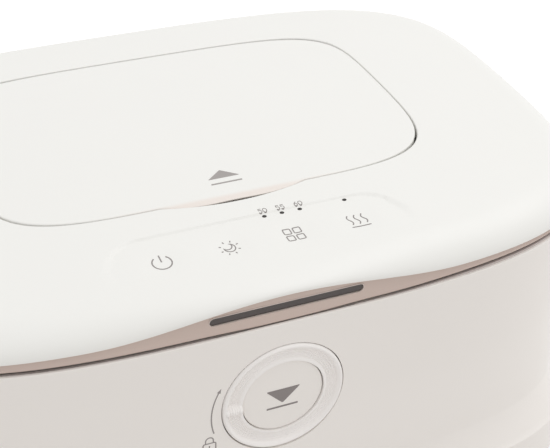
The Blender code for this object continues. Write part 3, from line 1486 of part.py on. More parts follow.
def build_flap_lining(plastic, silicone):
    """Inner plate of the flap and the seal that closes on the port's lip."""
    half_x = PORT_LIP_LENGTH + FLAP_PLATE_MARGIN
    half_y = PORT_LIP_WIDTH + FLAP_PLATE_MARGIN
    plate_top = dome(half_x, DOME_CENTRE_Y + half_y) - FLAP_THICKNESS - REST_GAP
    plate_bottom = plate_top - FLAP_PLATE_THICKNESS
    plate = add_extrusion(
        "flap_inner_plate", [port_outline(half_x, half_y)], plate_bottom, plate_top, plastic
    )
    grown = (FLAP_SEAL_WIDTH - PORT_LIP_WALL) / 2
    outer = port_outline(PORT_LIP_LENGTH + grown, PORT_LIP_WIDTH + grown)
    inner = port_outline(
        PORT_LIP_LENGTH + grown - FLAP_SEAL_WIDTH, PORT_LIP_WIDTH + grown - FLAP_SEAL_WIDTH
    )
    low = PORT_LIP_Z + REST_GAP
    seal = add_extrusion("flap_seal", [outer, inner], low, plate_bottom - REST_GAP, silicone)
    return [plate, seal]


def touch_places():
    """The x of each of the four touch keys."""
    return [TOUCH_SPACING * (index - 1.5) for index in range(4)]


def build_touch_board(board, clear):
    """Board of the touch keys, with a pad under each key, and the comb that carries the lights."""
    half_length = 1.5 * TOUCH_SPACING + TOUCH_BOARD_MARGIN_X
    top = TOUCH_BOARD_Z + TOUCH_BOARD_THICKNESS
    plate = add_box(
        "touch_board",
        (-half_length, TOUCH_ROW_Y - TOUCH_BOARD_FRONT, TOUCH_BOARD_Z),
        (half_length, TOUCH_ROW_Y + TOUCH_BOARD_BACK, top),
        board,
    )
    for index, x in enumerate(touch_places(), start=1):
        join(plate, add_cylinder(
            f"touch_pad_{index}",
            TOUCH_PAD_RADIUS,
            (x, TOUCH_ROW_Y, top - TOUCH_BOARD_THICKNESS / 2),
            (x, TOUCH_ROW_Y, top + TOUCH_PAD_HEIGHT),
            PIN_STEPS,
        ))
    lights = [LED_GROUP_X - LED_SPACING, LED_GROUP_X, LED_GROUP_X + LED_SPACING, 1.5 * TOUCH_SPACING]
    bar_bottom = top + REST_GAP
    bar = add_box(
        "indicator_light_guide",
        (lights[0] - GUIDE_BAR_HALF_WIDTH, LED_ROW_Y - GUIDE_BAR_HALF_WIDTH, bar_bottom),
        (lights[-1] + GUIDE_BAR_HALF_WIDTH, LED_ROW_Y + GUIDE_BAR_HALF_WIDTH, bar_bottom + GUIDE_BAR_THICKNESS),
        clear,
    )
    for index, x in enumerate(lights, start=1):
        tip = dome(x, LED_ROW_Y - GUIDE_PIN_RADIUS) - COVER_WALL - REST_GAP
        join(bar, add_cylinder(
            f"guide_pin_{index}",
            GUIDE_PIN_RADIUS,
            (x, LED_ROW_Y, bar_bottom + GUIDE_BAR_THICKNESS / 2),
            (x, LED_ROW_Y, tip),
            PIN_STEPS,
        ))
    return [plate, bar]


def build_base(white, grey, black, rubber, steel, aluminium, felt, board):
    """Everything that stands still."""
    build_base_shell(white)
    build_base_plate(grey)
    build_base_screws(steel)
    build_feet(rubber)
    build_wipe_bin(grey)
    build_heater(aluminium, felt, black)
    build_power_board(board)
    build_power_inlet(black)
    build_dial_housing(grey)
    build_latch_bracket(grey, steel)
    build_latch_spring(steel)
    build_hinge_pins(steel)


def build_flap(white, grey, silicone, steel):
    """The dispensing flap on its own axis."""
    pieces = [build_flap_cover(white)] + build_flap_lining(grey, silicone)
    pieces += build_flap_pins(steel)
    return add_axis("flap_axis", Vector((0, FLAP_AXIS_Y, flap_axis_z())), pieces)


def build_lid(white, taupe, grey, silicone, smoked, clear, steel, board):
    """The lid on its own axis, without its flap."""
    pieces = [
        build_lid_cover(white),
        build_lid_frame(taupe),
        build_lid_liner(grey),
        build_lid_seal(silicone),
        build_tray(white),
        build_port(silicone),
        build_lid_strike(steel),
    ]
    pieces += build_lid_screws(steel)
    pieces += build_light_window(smoked, board)
    pieces += build_touch_board(board, clear)
    return add_axis("lid_axis", Vector((0, HINGE_Y, HINGE_Z)), pieces)


def build_dial(white, steel):
    """The lock ring, the button and the latch lever, each on its own axis."""
    add_axis("dial_axis", DIAL_PLACE, [build_lock_ring(white), build_button(white)])
    add_axis("latch_axis", Vector((0, LEVER_PIVOT_Y, LEVER_PIVOT_Z)), [build_latch_lever(steel)])


def main():
    """Build the whole warmer."""
    white = material("white_plastic", (0.86, 0.85, 0.82), 0.38)
    taupe = material("taupe_plastic", (0.36, 0.29, 0.25), 0.45)
    grey = material("inner_plastic", (0.72, 0.72, 0.70), 0.50)
    black = material("black_plastic", (0.03, 0.03, 0.03), 0.45)
    smoked = material("smoked_plastic", (0.10, 0.08, 0.08), 0.20)
    clear = material("clear_plastic", (0.80, 0.82, 0.84), 0.15)
    silicone = material("silicone", (0.78, 0.77, 0.74), 0.60)
    rubber = material("rubber", (0.12, 0.12, 0.12), 0.80)
    steel = material("steel", (0.62, 0.62, 0.62), 0.30, 1.0)
    aluminium = material("aluminium", (0.75, 0.75, 0.76), 0.40, 1.0)
    felt = material("felt", (0.62, 0.60, 0.56), 0.95)
    board = material("circuit_board", (0.04, 0.20, 0.09), 0.50)
    build_base(white, grey, black, rubber, steel, aluminium, felt, board)
    lid = build_lid(white, taupe, grey, silicone, smoked, clear, steel, board)
    flap = build_flap(white, grey, silicone, steel)
    flap.parent = lid
    flap.matrix_parent_inverse = Matrix.Translation(lid.location).inverted()
    build_dial(white, steel)


clear_scene()
PARTS = new_collection("baby_wipe_warmer")
CUTTERS = new_collection("cutters")
main()
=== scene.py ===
import math

import bmesh
import bpy
import numpy as np
from mathutils import Matrix, Vector


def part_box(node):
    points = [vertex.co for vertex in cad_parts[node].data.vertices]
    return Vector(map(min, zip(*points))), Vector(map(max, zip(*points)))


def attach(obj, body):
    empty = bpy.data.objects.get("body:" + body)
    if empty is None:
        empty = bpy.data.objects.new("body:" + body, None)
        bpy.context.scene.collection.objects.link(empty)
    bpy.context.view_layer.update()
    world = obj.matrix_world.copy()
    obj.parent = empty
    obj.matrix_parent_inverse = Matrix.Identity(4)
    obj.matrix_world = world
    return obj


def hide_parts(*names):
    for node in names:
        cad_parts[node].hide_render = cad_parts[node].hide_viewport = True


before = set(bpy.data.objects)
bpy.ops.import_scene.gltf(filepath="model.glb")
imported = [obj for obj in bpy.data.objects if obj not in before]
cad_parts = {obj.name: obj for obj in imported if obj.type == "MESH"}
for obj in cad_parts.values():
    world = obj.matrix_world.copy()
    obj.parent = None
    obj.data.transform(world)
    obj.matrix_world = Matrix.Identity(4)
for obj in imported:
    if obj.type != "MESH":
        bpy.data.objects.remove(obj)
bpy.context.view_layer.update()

# Whole body, in metres
HALF_X = 0.1105
HALF_Y = 0.0733
BODY_EXPONENT = 4.0
RIM_Z = 0.0869
LID_BOTTOM_Z = 0.0877
CROWN_Z = 0.10494
DOME_RADIUS_X = 3.450
DOME_RADIUS_Y = 0.5060
DOME_CENTRE_Y = 0.0039
GAP = 0.0003
FRONT_Y = -HALF_Y
OVERRUN = 0.0020

# Fineness of the meshes
AROUND = 560
TURN_STEPS = 180
FOOT_STEPS = 96
RING_STEPS = 360
CROWDING_SHARE = 0.86
EDGE_SHARE = 0.45
SHARP_ANGLE = math.radians(32)
COAT_ROUGHNESS = 0.15
GLOSS_SPREAD = 0.14

# Base shell
WALL = 0.0030
RIM_WALL = 0.0015
LEDGE_Z = 0.0844
RIM_LIP_OUTER = 0.0007
RIM_LIP_INNER = 0.0014
FLOOR_GAP = 0.0015
SKIRT_Z = 0.0176
SKIRT_EXPONENT = 4.7
SKIRT_CREASE = 0.0008
SKIRT_STEP = 0.0004
FLARE = 0.0042
NECK_POWER = 1.9
WAIST_Z = 0.0300
WAIST_BULGE = 0.0014
WALL_START_Z = 0.0600
WALL_END_DROP = 0.0030
RIM_START_DROP = 0.0020
RIM_EDGE = 0.0005
BASE_HEIGHT_STEPS = 15
DIAL_Z = 0.0622
DIAL_HOLE = 0.01775
DIAL_HOLE_DEPTH = 0.0050
INLET_X = 0.0440
INLET_Z = 0.0500
INLET_RADIUS = 0.0055
INLET_DEPTH = 0.0060
HINGE_Y = 0.0697
HINGE_Z = 0.0777
BAY_X = 0.0390
BAY_HALF = 0.0110
BAY_DEPTH = 0.0054
BAY_DROP = 0.0035
EAR_HALF = 0.0140
EAR_DEPTH = 0.0034
EAR_HALF_HEIGHT = 0.0040
RIM_LIP_HEIGHT = 0.0016
RIM_LIP_EDGE = 0.0001

# Feet
FOOT_RADIUS = 0.0080
FOOT_HEIGHT = 0.0021
FOOT_EDGE = 0.0006
FOOT_CUP_RADIUS = 0.0052
FOOT_CUP = 0.0002
FOOT_X = 0.74 * HALF_X
FOOT_Y = 0.63 * HALF_Y

# Wipe bin
BIN_HALF_X = 0.0950
BIN_HALF_Y = 0.0520
BIN_EXPONENT = 6.0
BIN_BOTTOM_Z = 0.0220
BIN_CORNER = 0.0050
BIN_WALL = 0.0020
BIN_DRAFT = 0.0020
FLANGE_LOW_Z = 0.0847
FLANGE_TOP_Z = 0.0866
FLANGE_INSET = 0.0019
FLANGE_EDGE = 0.0002
LATCH_NOTCH_HALF = 0.0075
LATCH_NOTCH_Y = -0.0562

# Lid
COVER_WALL = 0.0024
SHOULDER_WIDTH = 0.0095
SHOULDER_STEPS = 22
TOP_STEPS = 110
COVER_EDGE = 0.0003
COVER_STRAIGHT = 0.0008
BAND_HEIGHT = 0.0040
ARCH_RISE = 0.0044
ARCH_HALF = 0.0540
BAND_RECESS = 0.0004
RIM_RISE = 0.0010
RIM_LIFT = 0.0003
LID_LIFT = 0.0006
LID_LIFT_X = (0.0280, 0.0620)
LID_LIFT_Y = (-0.0100, 0.0300)
BAND_SAG = 0.0005
BAND_SAG_X = (0.0040, 0.0260)
BAND_ROUND = 0.0009
BAND_LEAN = 0.0006
BAND_FOOT = 0.0045
BAND_INNER = 0.0020
SHELF_INNER = 0.0090
SHELF_THICKNESS = 0.0025
SPIGOT_RISE = 0.0007
KNUCKLE_RADIUS = 0.0030
KNUCKLE_HALF = 0.0106
KNUCKLE_EDGE = 0.0003
KNUCKLE_POINTS = 48
NECK_BACK = 0.0012
NECK_FRONT = 0.0018
NECK_SINK = 0.0005
RIM_RISE_START_X = 0.0200
RIM_RISE_END_X = 0.1000
PANEL_BACK_Y = -0.0458
PANEL_HALF_X = 0.0424
PANEL_CORNER = 0.0120
PANEL_DEPTH = 0.00060
PANEL_STEP = 0.0003
PANEL_FADE_START_Y = -0.0510
PANEL_FADE_END_Y = -0.0625
KEYS = 4
KEY_Y = -0.0557
KEY_SPACING = 0.01848
KEY_RADIUS = 0.0073
KEY_DEPTH = 0.00035

# Flap and opening
FLAP_CENTRE_Y = 0.00435
FLAP_X = 0.0646
FLAP_Y = 0.04025
FLAP_REAR = 0.03965
FLAP_EXPONENT = 4.8
FLAP_REAR_EXPONENT = 5.1
OPENING_X = 0.0649
OPENING_Y = 0.04055
OPENING_REAR = 0.04035
OPENING_EXPONENT = 5.0
OPENING_REAR_EXPONENT = 5.4
FLAP_EDGE = 0.0004
FLAP_WALL = 0.0018
FLAP_SKIRT_EDGE = 0.0003
REAR_SKIRT = 0.0016
REAR_SKIRT_Y = (0.0250, 0.0290)
FLAP_PIN_Y = 0.0360
SOCKET_X = 0.0652
SOCKET_Z = 0.10110
SOCKET_HALF = (0.0020, 0.0022, 0.00118)
LUG_X = 0.05355
LUG_Z = 0.10157
LUG_HALF = (0.00325, 0.0018, 0.00105)
SCOOP_HALF = 0.0208
SCOOP_DEPTH = 0.0028
LIP_BACK = 0.0008
SLIT = 0.0009
SLIT_POWER = 6
LIP_DROP = 0.00045
LIP_POWER = 1.4
LIP_EDGE = 0.0003
LIP_DEPTH = 0.0012
FLAP_SKIRT = 0.0032
FLAP_THICKNESS = 0.0022

# Liner, tray, port and seals
LINER_BOTTOM_Z = 0.0905
LINER_TOP_Z = 0.0921
TRAY_BOTTOM_Z = 0.0924
TRAY_FLOOR_Z = 0.0938
TRAY_CORNER = 0.0015
TRAY_WALL = 0.0016
TRAY_FLANGE = 0.0035
TRAY_FLANGE_LOW = 0.0042
TRAY_FLANGE_TOP = 0.0027
OVAL_EXPONENT = 2.5
PORT_HOLE_X = 0.0311
PORT_HOLE_Y = 0.0111
PORT_SKIN = 0.0012
PORT_RISE = 0.0033
PORT_ROUND = 0.0007
PORT_FOOT_Z = 0.0908
LINER_INSET = 0.0079
SEAL_LOW_Z = 0.0869
SEAL_TOP_Z = 0.0902
SEAL_CENTRE = (0.0972, 0.0542)
SEAL_HALF_WIDTH = 0.0015
FLAP_SEAL_OUTER = (0.0375, 0.0155)
FLAP_SEAL_INNER = (0.0349, 0.0129)
FLAP_PLATE = (0.0420, 0.0200)

# Light window
WINDOW_Z = 0.0923
WINDOW_HALF = 0.0215
WINDOW_HALF_HEIGHT = 0.00125
WINDOW_SUNK = 0.00075
LENS_SUNK = 0.0003
LENS_FIT = 0.00005
LENS_STEP = 0.0050
LENS_FLANGE = (0.0225, 0.0020)
LENS_FLANGE_THICKNESS = 0.0008

# Dial
RING_RADIUS = 0.0175
RING_INNER = 0.01185
BUTTON_RADIUS = 0.01165
BUTTON_SUNK = 0.0003
BUTTON_EDGE = 0.0005
BUTTON_SKIRT_DEPTH = 0.0023
BUTTON_SKIN_DEPTH = 0.0016
BUTTON_INNER = 0.0102
STEM_RADIUS = 0.0033
STEM_DEPTH = 0.0071
STEM_HEAD_RADIUS = 0.0044
STEM_HEAD_DEPTH = 0.0081
STEM_END_DEPTH = 0.0093
RING_DISH = 0.0007
RING_NECK_DEPTH = 0.0038
RING_FLANGE_RADIUS = 0.0194
RING_BACK_DEPTH = 0.0050
GROOVES = 5
GROOVE_DEPTH = 0.00024
GROOVE_START = 0.16
GROOVE_END = 0.72
POINTER_TURN = math.radians(183.2)
POINTER_REACH = 0.0141
POINTER_HALF_LENGTH = 0.0027
POINTER_HALF_WIDTH = 0.0018
POINTER_RISE = 0.0020
POINTER_FACE_DEPTH = 0.0011
DIAL_CENTRE = (0.0, DIAL_Z)

# Camera, light and floor
CAMERA_TURN = math.radians(-25.93)
CAMERA_RISE = math.radians(34.79)
CAMERA_ROLL = math.radians(3.40)
CAMERA_PLACE = (-0.1231, -0.3152, 0.3060)
CAMERA_LENS = 89.385
CAMERA_SENSOR = 36
CAMERA_NEAR = 0.01
AMBIENT = 0.825
LAMP_PLACE = (0.70, -0.10, 1.15)
LAMP_SIZE = 0.9
LAMP_POWER = 3.2
FLOOR_COLOUR = (0.70, 0.685, 0.67, 1)
FLOOR_SEEN = (1.3, 1.3, 1.3, 1)
FLOOR_REACH = 3

# Printed marks, in metres and then in millimetres
INK_LIFT = 0.00004
INK_SIDE = 0.00008
MITRE_LIMIT = 0.5
SLOPE_STEP = 0.0001
KEY_STROKE = 0.36
FINE_STROKE = 0.32
MOON_STROKE = 0.30
MARK_STROKE = 0.34
MARK_SHORT_ROUND = 0.2
DIGIT_WIDTH = 1.05
DIGIT_HEIGHT = 1.45
DIGIT_STROKE = 0.20
DIGIT_LOW_Y = -45.75
HOLE_Y = -46.7
HOLE_RADIUS = 0.64
HOLE_SQUEEZE = 0.78


def smoothstep(low, high, value):
    """Zero below low, one above high and smooth between them."""
    share = np.clip((np.asarray(value, float) - low) / (high - low), 0, 1)
    return share * share * (3 - 2 * share)


def outline(half_x, half_y, exponent, count, centre_y=0.0):
    """Superellipse as an array of (x, y), counter-clockwise from +X."""
    angle = np.arange(count) * (math.tau / count)
    across = np.copysign(np.abs(np.cos(angle)) ** CROWDING_SHARE, np.cos(angle))
    along = np.copysign(np.abs(np.sin(angle)) ** CROWDING_SHARE, np.sin(angle))
    reach = (np.abs(across) ** exponent + np.abs(along) ** exponent) ** (-1 / exponent)
    return np.stack([half_x * across * reach, centre_y + half_y * along * reach], axis=1)


def two_part(half_x, front, rear, front_exponent, rear_exponent, centre_y):
    """Outline whose front and rear halves have their own depth and squareness."""
    ahead = outline(half_x, front, front_exponent, AROUND, centre_y)
    behind = outline(half_x, rear, rear_exponent, AROUND, centre_y)
    return np.where(ahead[:, 1:] > centre_y, behind, ahead)


def body(offset, exponent=BODY_EXPONENT):
    """The body's outline grown by an offset."""
    return outline(HALF_X + offset, HALF_Y + offset, exponent, AROUND)


def dome(x, y):
    """Height of the lid's domed top."""
    return CROWN_Z - x * x / (2 * DOME_RADIUS_X) - (y - DOME_CENTRE_Y) ** 2 / (2 * DOME_RADIUS_Y)


def cover_edge(x, y):
    """Height of the cover's lower edge, arched over the light window."""
    arch = ARCH_RISE * np.cos(math.pi / 2 * np.clip(x / ARCH_HALF, -1, 1)) ** 2
    return LID_BOTTOM_Z + BAND_HEIGHT + np.where(y < 0, arch, 0.0)


def rim_rise(x, y):
    """How far the parting line climbs from the middle of the front towards the sides."""
    return RIM_LIFT + RIM_RISE * np.where(y < 0, smoothstep(RIM_RISE_START_X, RIM_RISE_END_X, np.abs(x)), 1.0)


def lid_lift(x, y):
    """How much wider the parting gap grows round the right front corner."""
    return LID_LIFT * smoothstep(*LID_LIFT_X, x) * (1 - smoothstep(*LID_LIFT_Y, y))


def band_sag(x, y):
    """How much the band reaches lower in the middle of the front."""
    return BAND_SAG * np.where(y < 0, 1 - smoothstep(*BAND_SAG_X, np.abs(x)), 0.0)


def key_places():
    """The x of each touch key."""
    return [KEY_SPACING * (index - (KEYS - 1) / 2) for index in range(KEYS)]


def relief(x, y):
    """How deep the key panel and its four dimples lie under the dome."""
    side = np.abs(x) - (PANEL_HALF_X - PANEL_CORNER)
    back = y - (PANEL_BACK_Y - PANEL_CORNER)
    beyond = np.hypot(np.maximum(side, 0), np.maximum(back, 0))
    outside = np.minimum(np.maximum(side, back), 0) + beyond - PANEL_CORNER
    fade = smoothstep(PANEL_FADE_END_Y, PANEL_FADE_START_Y, y)
    depth = PANEL_DEPTH * fade * (1 - smoothstep(-PANEL_STEP, PANEL_STEP, outside))
    for key_x in key_places():
        share = np.clip(np.hypot(x - key_x, y - KEY_Y) / KEY_RADIUS, 0, 1)
        depth = depth + KEY_DEPTH * (1 - share ** 2) ** 2
    return depth


def lid_top(x, y):
    """Height of the lid's top with its shallow panel."""
    return dome(x, y) - relief(x, y)


def level(points, height):
    """Ring of (x, y) points at a height, which may be an array or a function of x and y."""
    if callable(height):
        height = height(points[:, 0], points[:, 1])
    return np.column_stack([points, np.broadcast_to(height, len(points))])


def upright(points, y):
    """Ring of (x, z) points that stands in the XZ plane."""
    return np.column_stack([points[:, 0], np.broadcast_to(y, len(points)), points[:, 1]])


def under_dome(points, depth):
    """Ring of (x, y) points at a depth under the dome."""
    return level(points, dome(points[:, 0], points[:, 1]) - depth)


def add_object(name, data):
    """New object of some data, linked to the scene."""
    thing = bpy.data.objects.new(name, data)
    bpy.context.scene.collection.objects.link(thing)
    return thing


def finish_piece(name, mesh, finish, weighted=True):
    """Shade a mesh, give it its finish and put it in the scene."""
    shape = bmesh.new()
    shape.from_mesh(mesh)
    bmesh.ops.recalc_face_normals(shape, faces=shape.faces)
    shape.to_mesh(mesh)
    shape.free()
    mesh.shade_smooth()
    mesh.set_sharp_from_angle(angle=SHARP_ANGLE)
    mesh.materials.append(finish)
    piece = add_object(name, mesh)
    if weighted:
        modifier = piece.modifiers.new("Weighted normals", "WEIGHTED_NORMAL")
        modifier.keep_sharp = True
    return piece


def loft_mesh(name, rings, wrap=False):
    """Mesh that skins rings of equal count, capped unless it wraps round."""
    count = len(rings[0])
    rows = len(rings)
    faces = []
    pairs = [(row, row + 1) for row in range(rows - 1)]
    if wrap:
        pairs.append((rows - 1, 0))
    for low, high in pairs:
        for index in range(count):
            after = (index + 1) % count
            under = low * count
            over = high * count
            faces.append((under + index, under + after, over + after, over + index))
    if not wrap:
        faces.append(tuple(reversed(range(count))))
        faces.append(tuple(range((rows - 1) * count, rows * count)))
    mesh = bpy.data.meshes.new(name)
    mesh.from_pydata(np.concatenate(rings).tolist(), [], faces)
    return mesh


def loft(name, rings, finish, wrap=False):
    """Finished piece made of rings."""
    return finish_piece(name, loft_mesh(name, rings, wrap), finish)


def bend(start, corner, end, steps):
    """Points of a curve that rounds a corner."""
    shares = [step / steps for step in range(steps + 1)]
    return [
        start * (1 - share) ** 2 + corner * 2 * share * (1 - share) + end * share ** 2 for share in shares
    ]


def rounded(profile, radius, steps=3):
    """Round the corners of an open profile of (a, b) points."""
    points = [np.array(point, float) for point in profile]
    result = [points[0]]
    for before, here, after in zip(points, points[1:], points[2:]):
        back = before - here
        on = after - here
        reach = min(radius, np.linalg.norm(back) * EDGE_SHARE, np.linalg.norm(on) * EDGE_SHARE)
        start = here + back / np.linalg.norm(back) * reach
        end = here + on / np.linalg.norm(on) * reach
        result += bend(start, here, end, steps)
    result.append(points[-1])
    return [tuple(point) for point in result]


def circle(radius, steps):
    """Points of a circle as an array of (a, b)."""
    turns = np.arange(steps) * (math.tau / steps)
    return np.column_stack([radius * np.cos(turns), radius * np.sin(turns)])


def cutter(shape):
    """Object of a bmesh, for cutting or joining."""
    mesh = bpy.data.meshes.new("cutter")
    shape.to_mesh(mesh)
    shape.free()
    return add_object("cutter", mesh)


def box_mesh(low, high):
    """Object of a plain box, for cutting or joining."""
    shape = bmesh.new()
    bmesh.ops.create_cube(shape, size=1.0)
    low = Vector(low)
    high = Vector(high)
    bmesh.ops.scale(shape, vec=high - low, verts=shape.verts)
    bmesh.ops.translate(shape, vec=(low + high) / 2, verts=shape.verts)
    return cutter(shape)


def drum(radius, start, end):
    """Object of a cylinder from one point to another, for cutting."""
    start = Vector(start)
    run = Vector(end) - start
    shape = bmesh.new()
    bmesh.ops.create_cone(
        shape, cap_ends=True, segments=TURN_STEPS, radius1=radius, radius2=radius, depth=run.length
    )
    turn = run.to_track_quat("Z", "Y").to_matrix().to_4x4()
    bmesh.ops.transform(shape, matrix=Matrix.Translation(start + run / 2) @ turn, verts=shape.verts)
    return cutter(shape)


def carve(mesh, tools, operation="DIFFERENCE"):
    """Cut or join tools into a mesh and return the new mesh."""
    carrier = add_object("carrier", mesh)
    for tool in tools:
        modifier = carrier.modifiers.new("Cut", "BOOLEAN")
        modifier.operation = operation
        modifier.solver = "EXACT"
        modifier.object = tool
    bpy.context.view_layer.update()
    evaluated = carrier.evaluated_get(bpy.context.evaluated_depsgraph_get())
    result = bpy.data.meshes.new_from_object(evaluated)
    for thing in [carrier] + list(tools):
        bpy.data.objects.remove(thing, do_unlink=True)
    result.materials.clear()
    return result


def base_offset(height):
    """How far the base's outer wall stands outside the body's outline at a height."""
    height = np.asarray(height, float)
    upper = WAIST_BULGE * (1 - smoothstep(WAIST_Z, WALL_START_Z, height))
    down = np.clip((height - SKIRT_Z) / (WAIST_Z - SKIRT_Z), 0, 1)
    lower = WAIST_BULGE + (FLARE - SKIRT_STEP - WAIST_BULGE) * (1 - down) ** NECK_POWER
    return np.where(height >= WAIST_Z, upper, lower)


def noise(nodes, links, coordinates, scale, detail=2.0, rough=0.5):
    """Noise texture on given coordinates."""
    texture = nodes.new("ShaderNodeTexNoise")
    texture.inputs["Scale"].default_value = scale
    texture.inputs["Detail"].default_value = detail
    texture.inputs["Roughness"].default_value = rough
    links.new(coordinates, texture.inputs["Vector"])
    return texture.outputs["Fac"]


def ranged(nodes, links, value, low, high):
    """Map a 0 to 1 value to a range."""
    node = nodes.new("ShaderNodeMapRange")
    node.inputs["To Min"].default_value = low
    node.inputs["To Max"].default_value = high
    links.new(value, node.inputs["Value"])
    return node.outputs["Result"]


def srgb(red, green, blue):
    """Linear colour of an sRGB value out of 255."""
    values = []
    for value in (red, green, blue):
        share = value / 255
        values.append(share / 12.92 if share <= 0.04045 else ((share + 0.055) / 1.055) ** 2.4)
    return tuple(values)


def surface(
    name, colour, roughness, grain_scale, grain_height,
    vary=0.02, cloud_scale=22.0, metallic=0.0, coat=0.0, streak=None,
):
    """Procedural finish: clouded colour, uneven gloss and a fine moulded or brushed grain."""
    made = bpy.data.materials.new(name)
    made.use_nodes = True
    nodes = made.node_tree.nodes
    links = made.node_tree.links
    shader = nodes["Principled BSDF"]
    shader.inputs["Metallic"].default_value = metallic
    shader.inputs["Coat Weight"].default_value = coat
    shader.inputs["Coat Roughness"].default_value = COAT_ROUGHNESS
    where = nodes.new("ShaderNodeTexCoord").outputs["Object"]
    cloud = noise(nodes, links, where, cloud_scale, 3.0, 0.55)
    ramp = nodes.new("ShaderNodeValToRGB")
    dark = tuple(max(0.0, part * (1 - vary)) for part in colour)
    light = tuple(min(1.0, part * (1 + vary)) for part in colour)
    ramp.color_ramp.elements[0].position = 0.3
    ramp.color_ramp.elements[0].color = (*dark, 1)
    ramp.color_ramp.elements[1].position = 0.7
    ramp.color_ramp.elements[1].color = (*light, 1)
    links.new(cloud, ramp.inputs["Fac"])
    links.new(ramp.outputs["Color"], shader.inputs["Base Color"])
    gloss = noise(nodes, links, where, cloud_scale * 9, 2.0, 0.6)
    rougher = min(1.0, roughness * (1 + GLOSS_SPREAD))
    uneven = ranged(nodes, links, gloss, roughness * (1 - GLOSS_SPREAD), rougher)
    links.new(uneven, shader.inputs["Roughness"])
    grain_place = where
    if streak is not None:
        mapping = nodes.new("ShaderNodeMapping")
        mapping.inputs["Scale"].default_value = streak
        links.new(where, mapping.inputs["Vector"])
        grain_place = mapping.outputs["Vector"]
    grain = noise(nodes, links, grain_place, grain_scale, 2.0, 0.5)
    bump = nodes.new("ShaderNodeBump")
    bump.inputs["Strength"].default_value = 1.0
    bump.inputs["Distance"].default_value = grain_height
    links.new(grain, bump.inputs["Height"])
    links.new(bump.outputs["Normal"], shader.inputs["Normal"])
    return made


def paint_lip_bounce_shade(made, bounce_shade_tint):
    """Painted shade: darken and warm a finish's colour on the flap's slanted front lip, standing for the
    shade and warm bounce light the lip gets.
    """
    nodes = made.node_tree.nodes
    links = made.node_tree.links
    split = nodes.new("ShaderNodeSeparateXYZ")
    links.new(nodes["Texture Coordinate"].outputs["Object"], split.inputs["Vector"])
    ahead = nodes.new("ShaderNodeMapRange")
    ahead.interpolation_type = "SMOOTHSTEP"
    ahead.inputs["From Min"].default_value = FLAP_CENTRE_Y - FLAP_Y + LIP_BACK
    ahead.inputs["From Max"].default_value = FLAP_CENTRE_Y - FLAP_Y - LIP_BACK
    links.new(split.outputs["Y"], ahead.inputs["Value"])
    mix = nodes.new("ShaderNodeMix")
    mix.data_type = "RGBA"
    mix.inputs[7].default_value = (*bounce_shade_tint, 1)
    shader = nodes["Principled BSDF"]
    links.new(shader.inputs["Base Color"].links[0].from_socket, mix.inputs[6])
    links.new(ahead.outputs["Result"], mix.inputs[0])
    links.new(mix.outputs[2], shader.inputs["Base Color"])
    return made


def finishes():
    """Every finish by name: colour, roughness, grain scale, grain height and how much the colour varies."""
    flap = surface("white flap with painted lip shade", srgb(244, 243, 239), 0.42, 2600, 0.0000030, 0.004)
    return {
        "lid": surface("white lid", srgb(244, 243, 239), 0.42, 2600, 0.0000030, 0.004),
        # Painted shade: the flap's front lip is tinted darker and warmer than the lid's white.
        "flap": paint_lip_bounce_shade(flap, srgb(240, 231, 224)),
        "body": surface("white body", srgb(243, 238, 233), 0.44, 2600, 0.0000030, 0.004),
        # Painted light: the ring's white is lighter than the body's, standing for the light its dished face
        # catches.
        "dial": surface("lighter white dial with painted light", srgb(248, 244, 241), 0.40, 2600, 0.0000020, 0.004),
        "band": surface("taupe band", srgb(203, 184, 174), 0.42, 2400, 0.0000030, 0.012),
        # Painted highlight: the window rim is a paler taupe than the band, standing for the light on the
        # slot's edge.
        "rim": surface("paler taupe rim with painted highlight", srgb(212, 198, 190), 0.35, 2400, 0.0000020, 0.01),
        # Painted shade: the white rim lip in the parting gap is coloured as it looks in shade.
        "lip": surface("rim lip in painted shade", srgb(196, 186, 182), 0.42, 2400, 0.0000020, 0.01),
        "lens": surface("smoked lens", srgb(64, 55, 52), 0.24, 1500, 0.0000010, 0.03),
        "ink": surface("grey ink", srgb(150, 144, 142), 0.60, 5000, 0.0000010, 0.02),
        "dark ink": surface("dark grey ink", srgb(136, 129, 127), 0.60, 5000, 0.0000010, 0.02),
        "pale ink": surface("pale grey ink", srgb(168, 162, 159), 0.60, 5000, 0.0000010, 0.02),
        # Painted shade: dark colour standing for the shade inside the indicator holes.
        "hole": surface("painted hole shade", srgb(58, 54, 52), 0.70, 3000, 0.0000020, 0.05),
        "inner": surface("inner plastic", srgb(226, 224, 220), 0.50, 1800, 0.0000050, 0.012),
        "silicone": surface("silicone", srgb(222, 219, 213), 0.62, 1400, 0.0000060, 0.02),
        "black": surface("black plastic", srgb(40, 39, 39), 0.45, 1800, 0.0000060, 0.06),
        "clear": surface("clear guide", srgb(214, 218, 221), 0.18, 1200, 0.0000010, 0.01),
        "rubber": surface("grey rubber", srgb(96, 94, 92), 0.78, 1300, 0.0000150, 0.06),
        "steel": surface("plated steel", srgb(200, 199, 197), 0.30, 900, 0.0000020, 0.03,
                         metallic=1.0, streak=(1, 1, 14)),
        "aluminium": surface("rolled aluminium", srgb(206, 206, 208), 0.36, 500, 0.0000030, 0.03,
                             metallic=1.0, streak=(1, 30, 1)),
        "felt": surface("pressed felt", srgb(196, 191, 181), 0.95, 900, 0.0002000, 0.10, cloud_scale=240),
        "board": surface("solder mask", srgb(36, 104, 62), 0.35, 1200, 0.0000060, 0.10, cloud_scale=160,
                         coat=0.3),
    }


FINISH = finishes()


def place(piece, body_name, slot, *nodes):
    """Let a piece move with a body and hide the plain nodes it stands for; the slot it is given is not used.
    """
    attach(piece, body_name)
    if nodes:
        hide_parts(*nodes)
    return piece


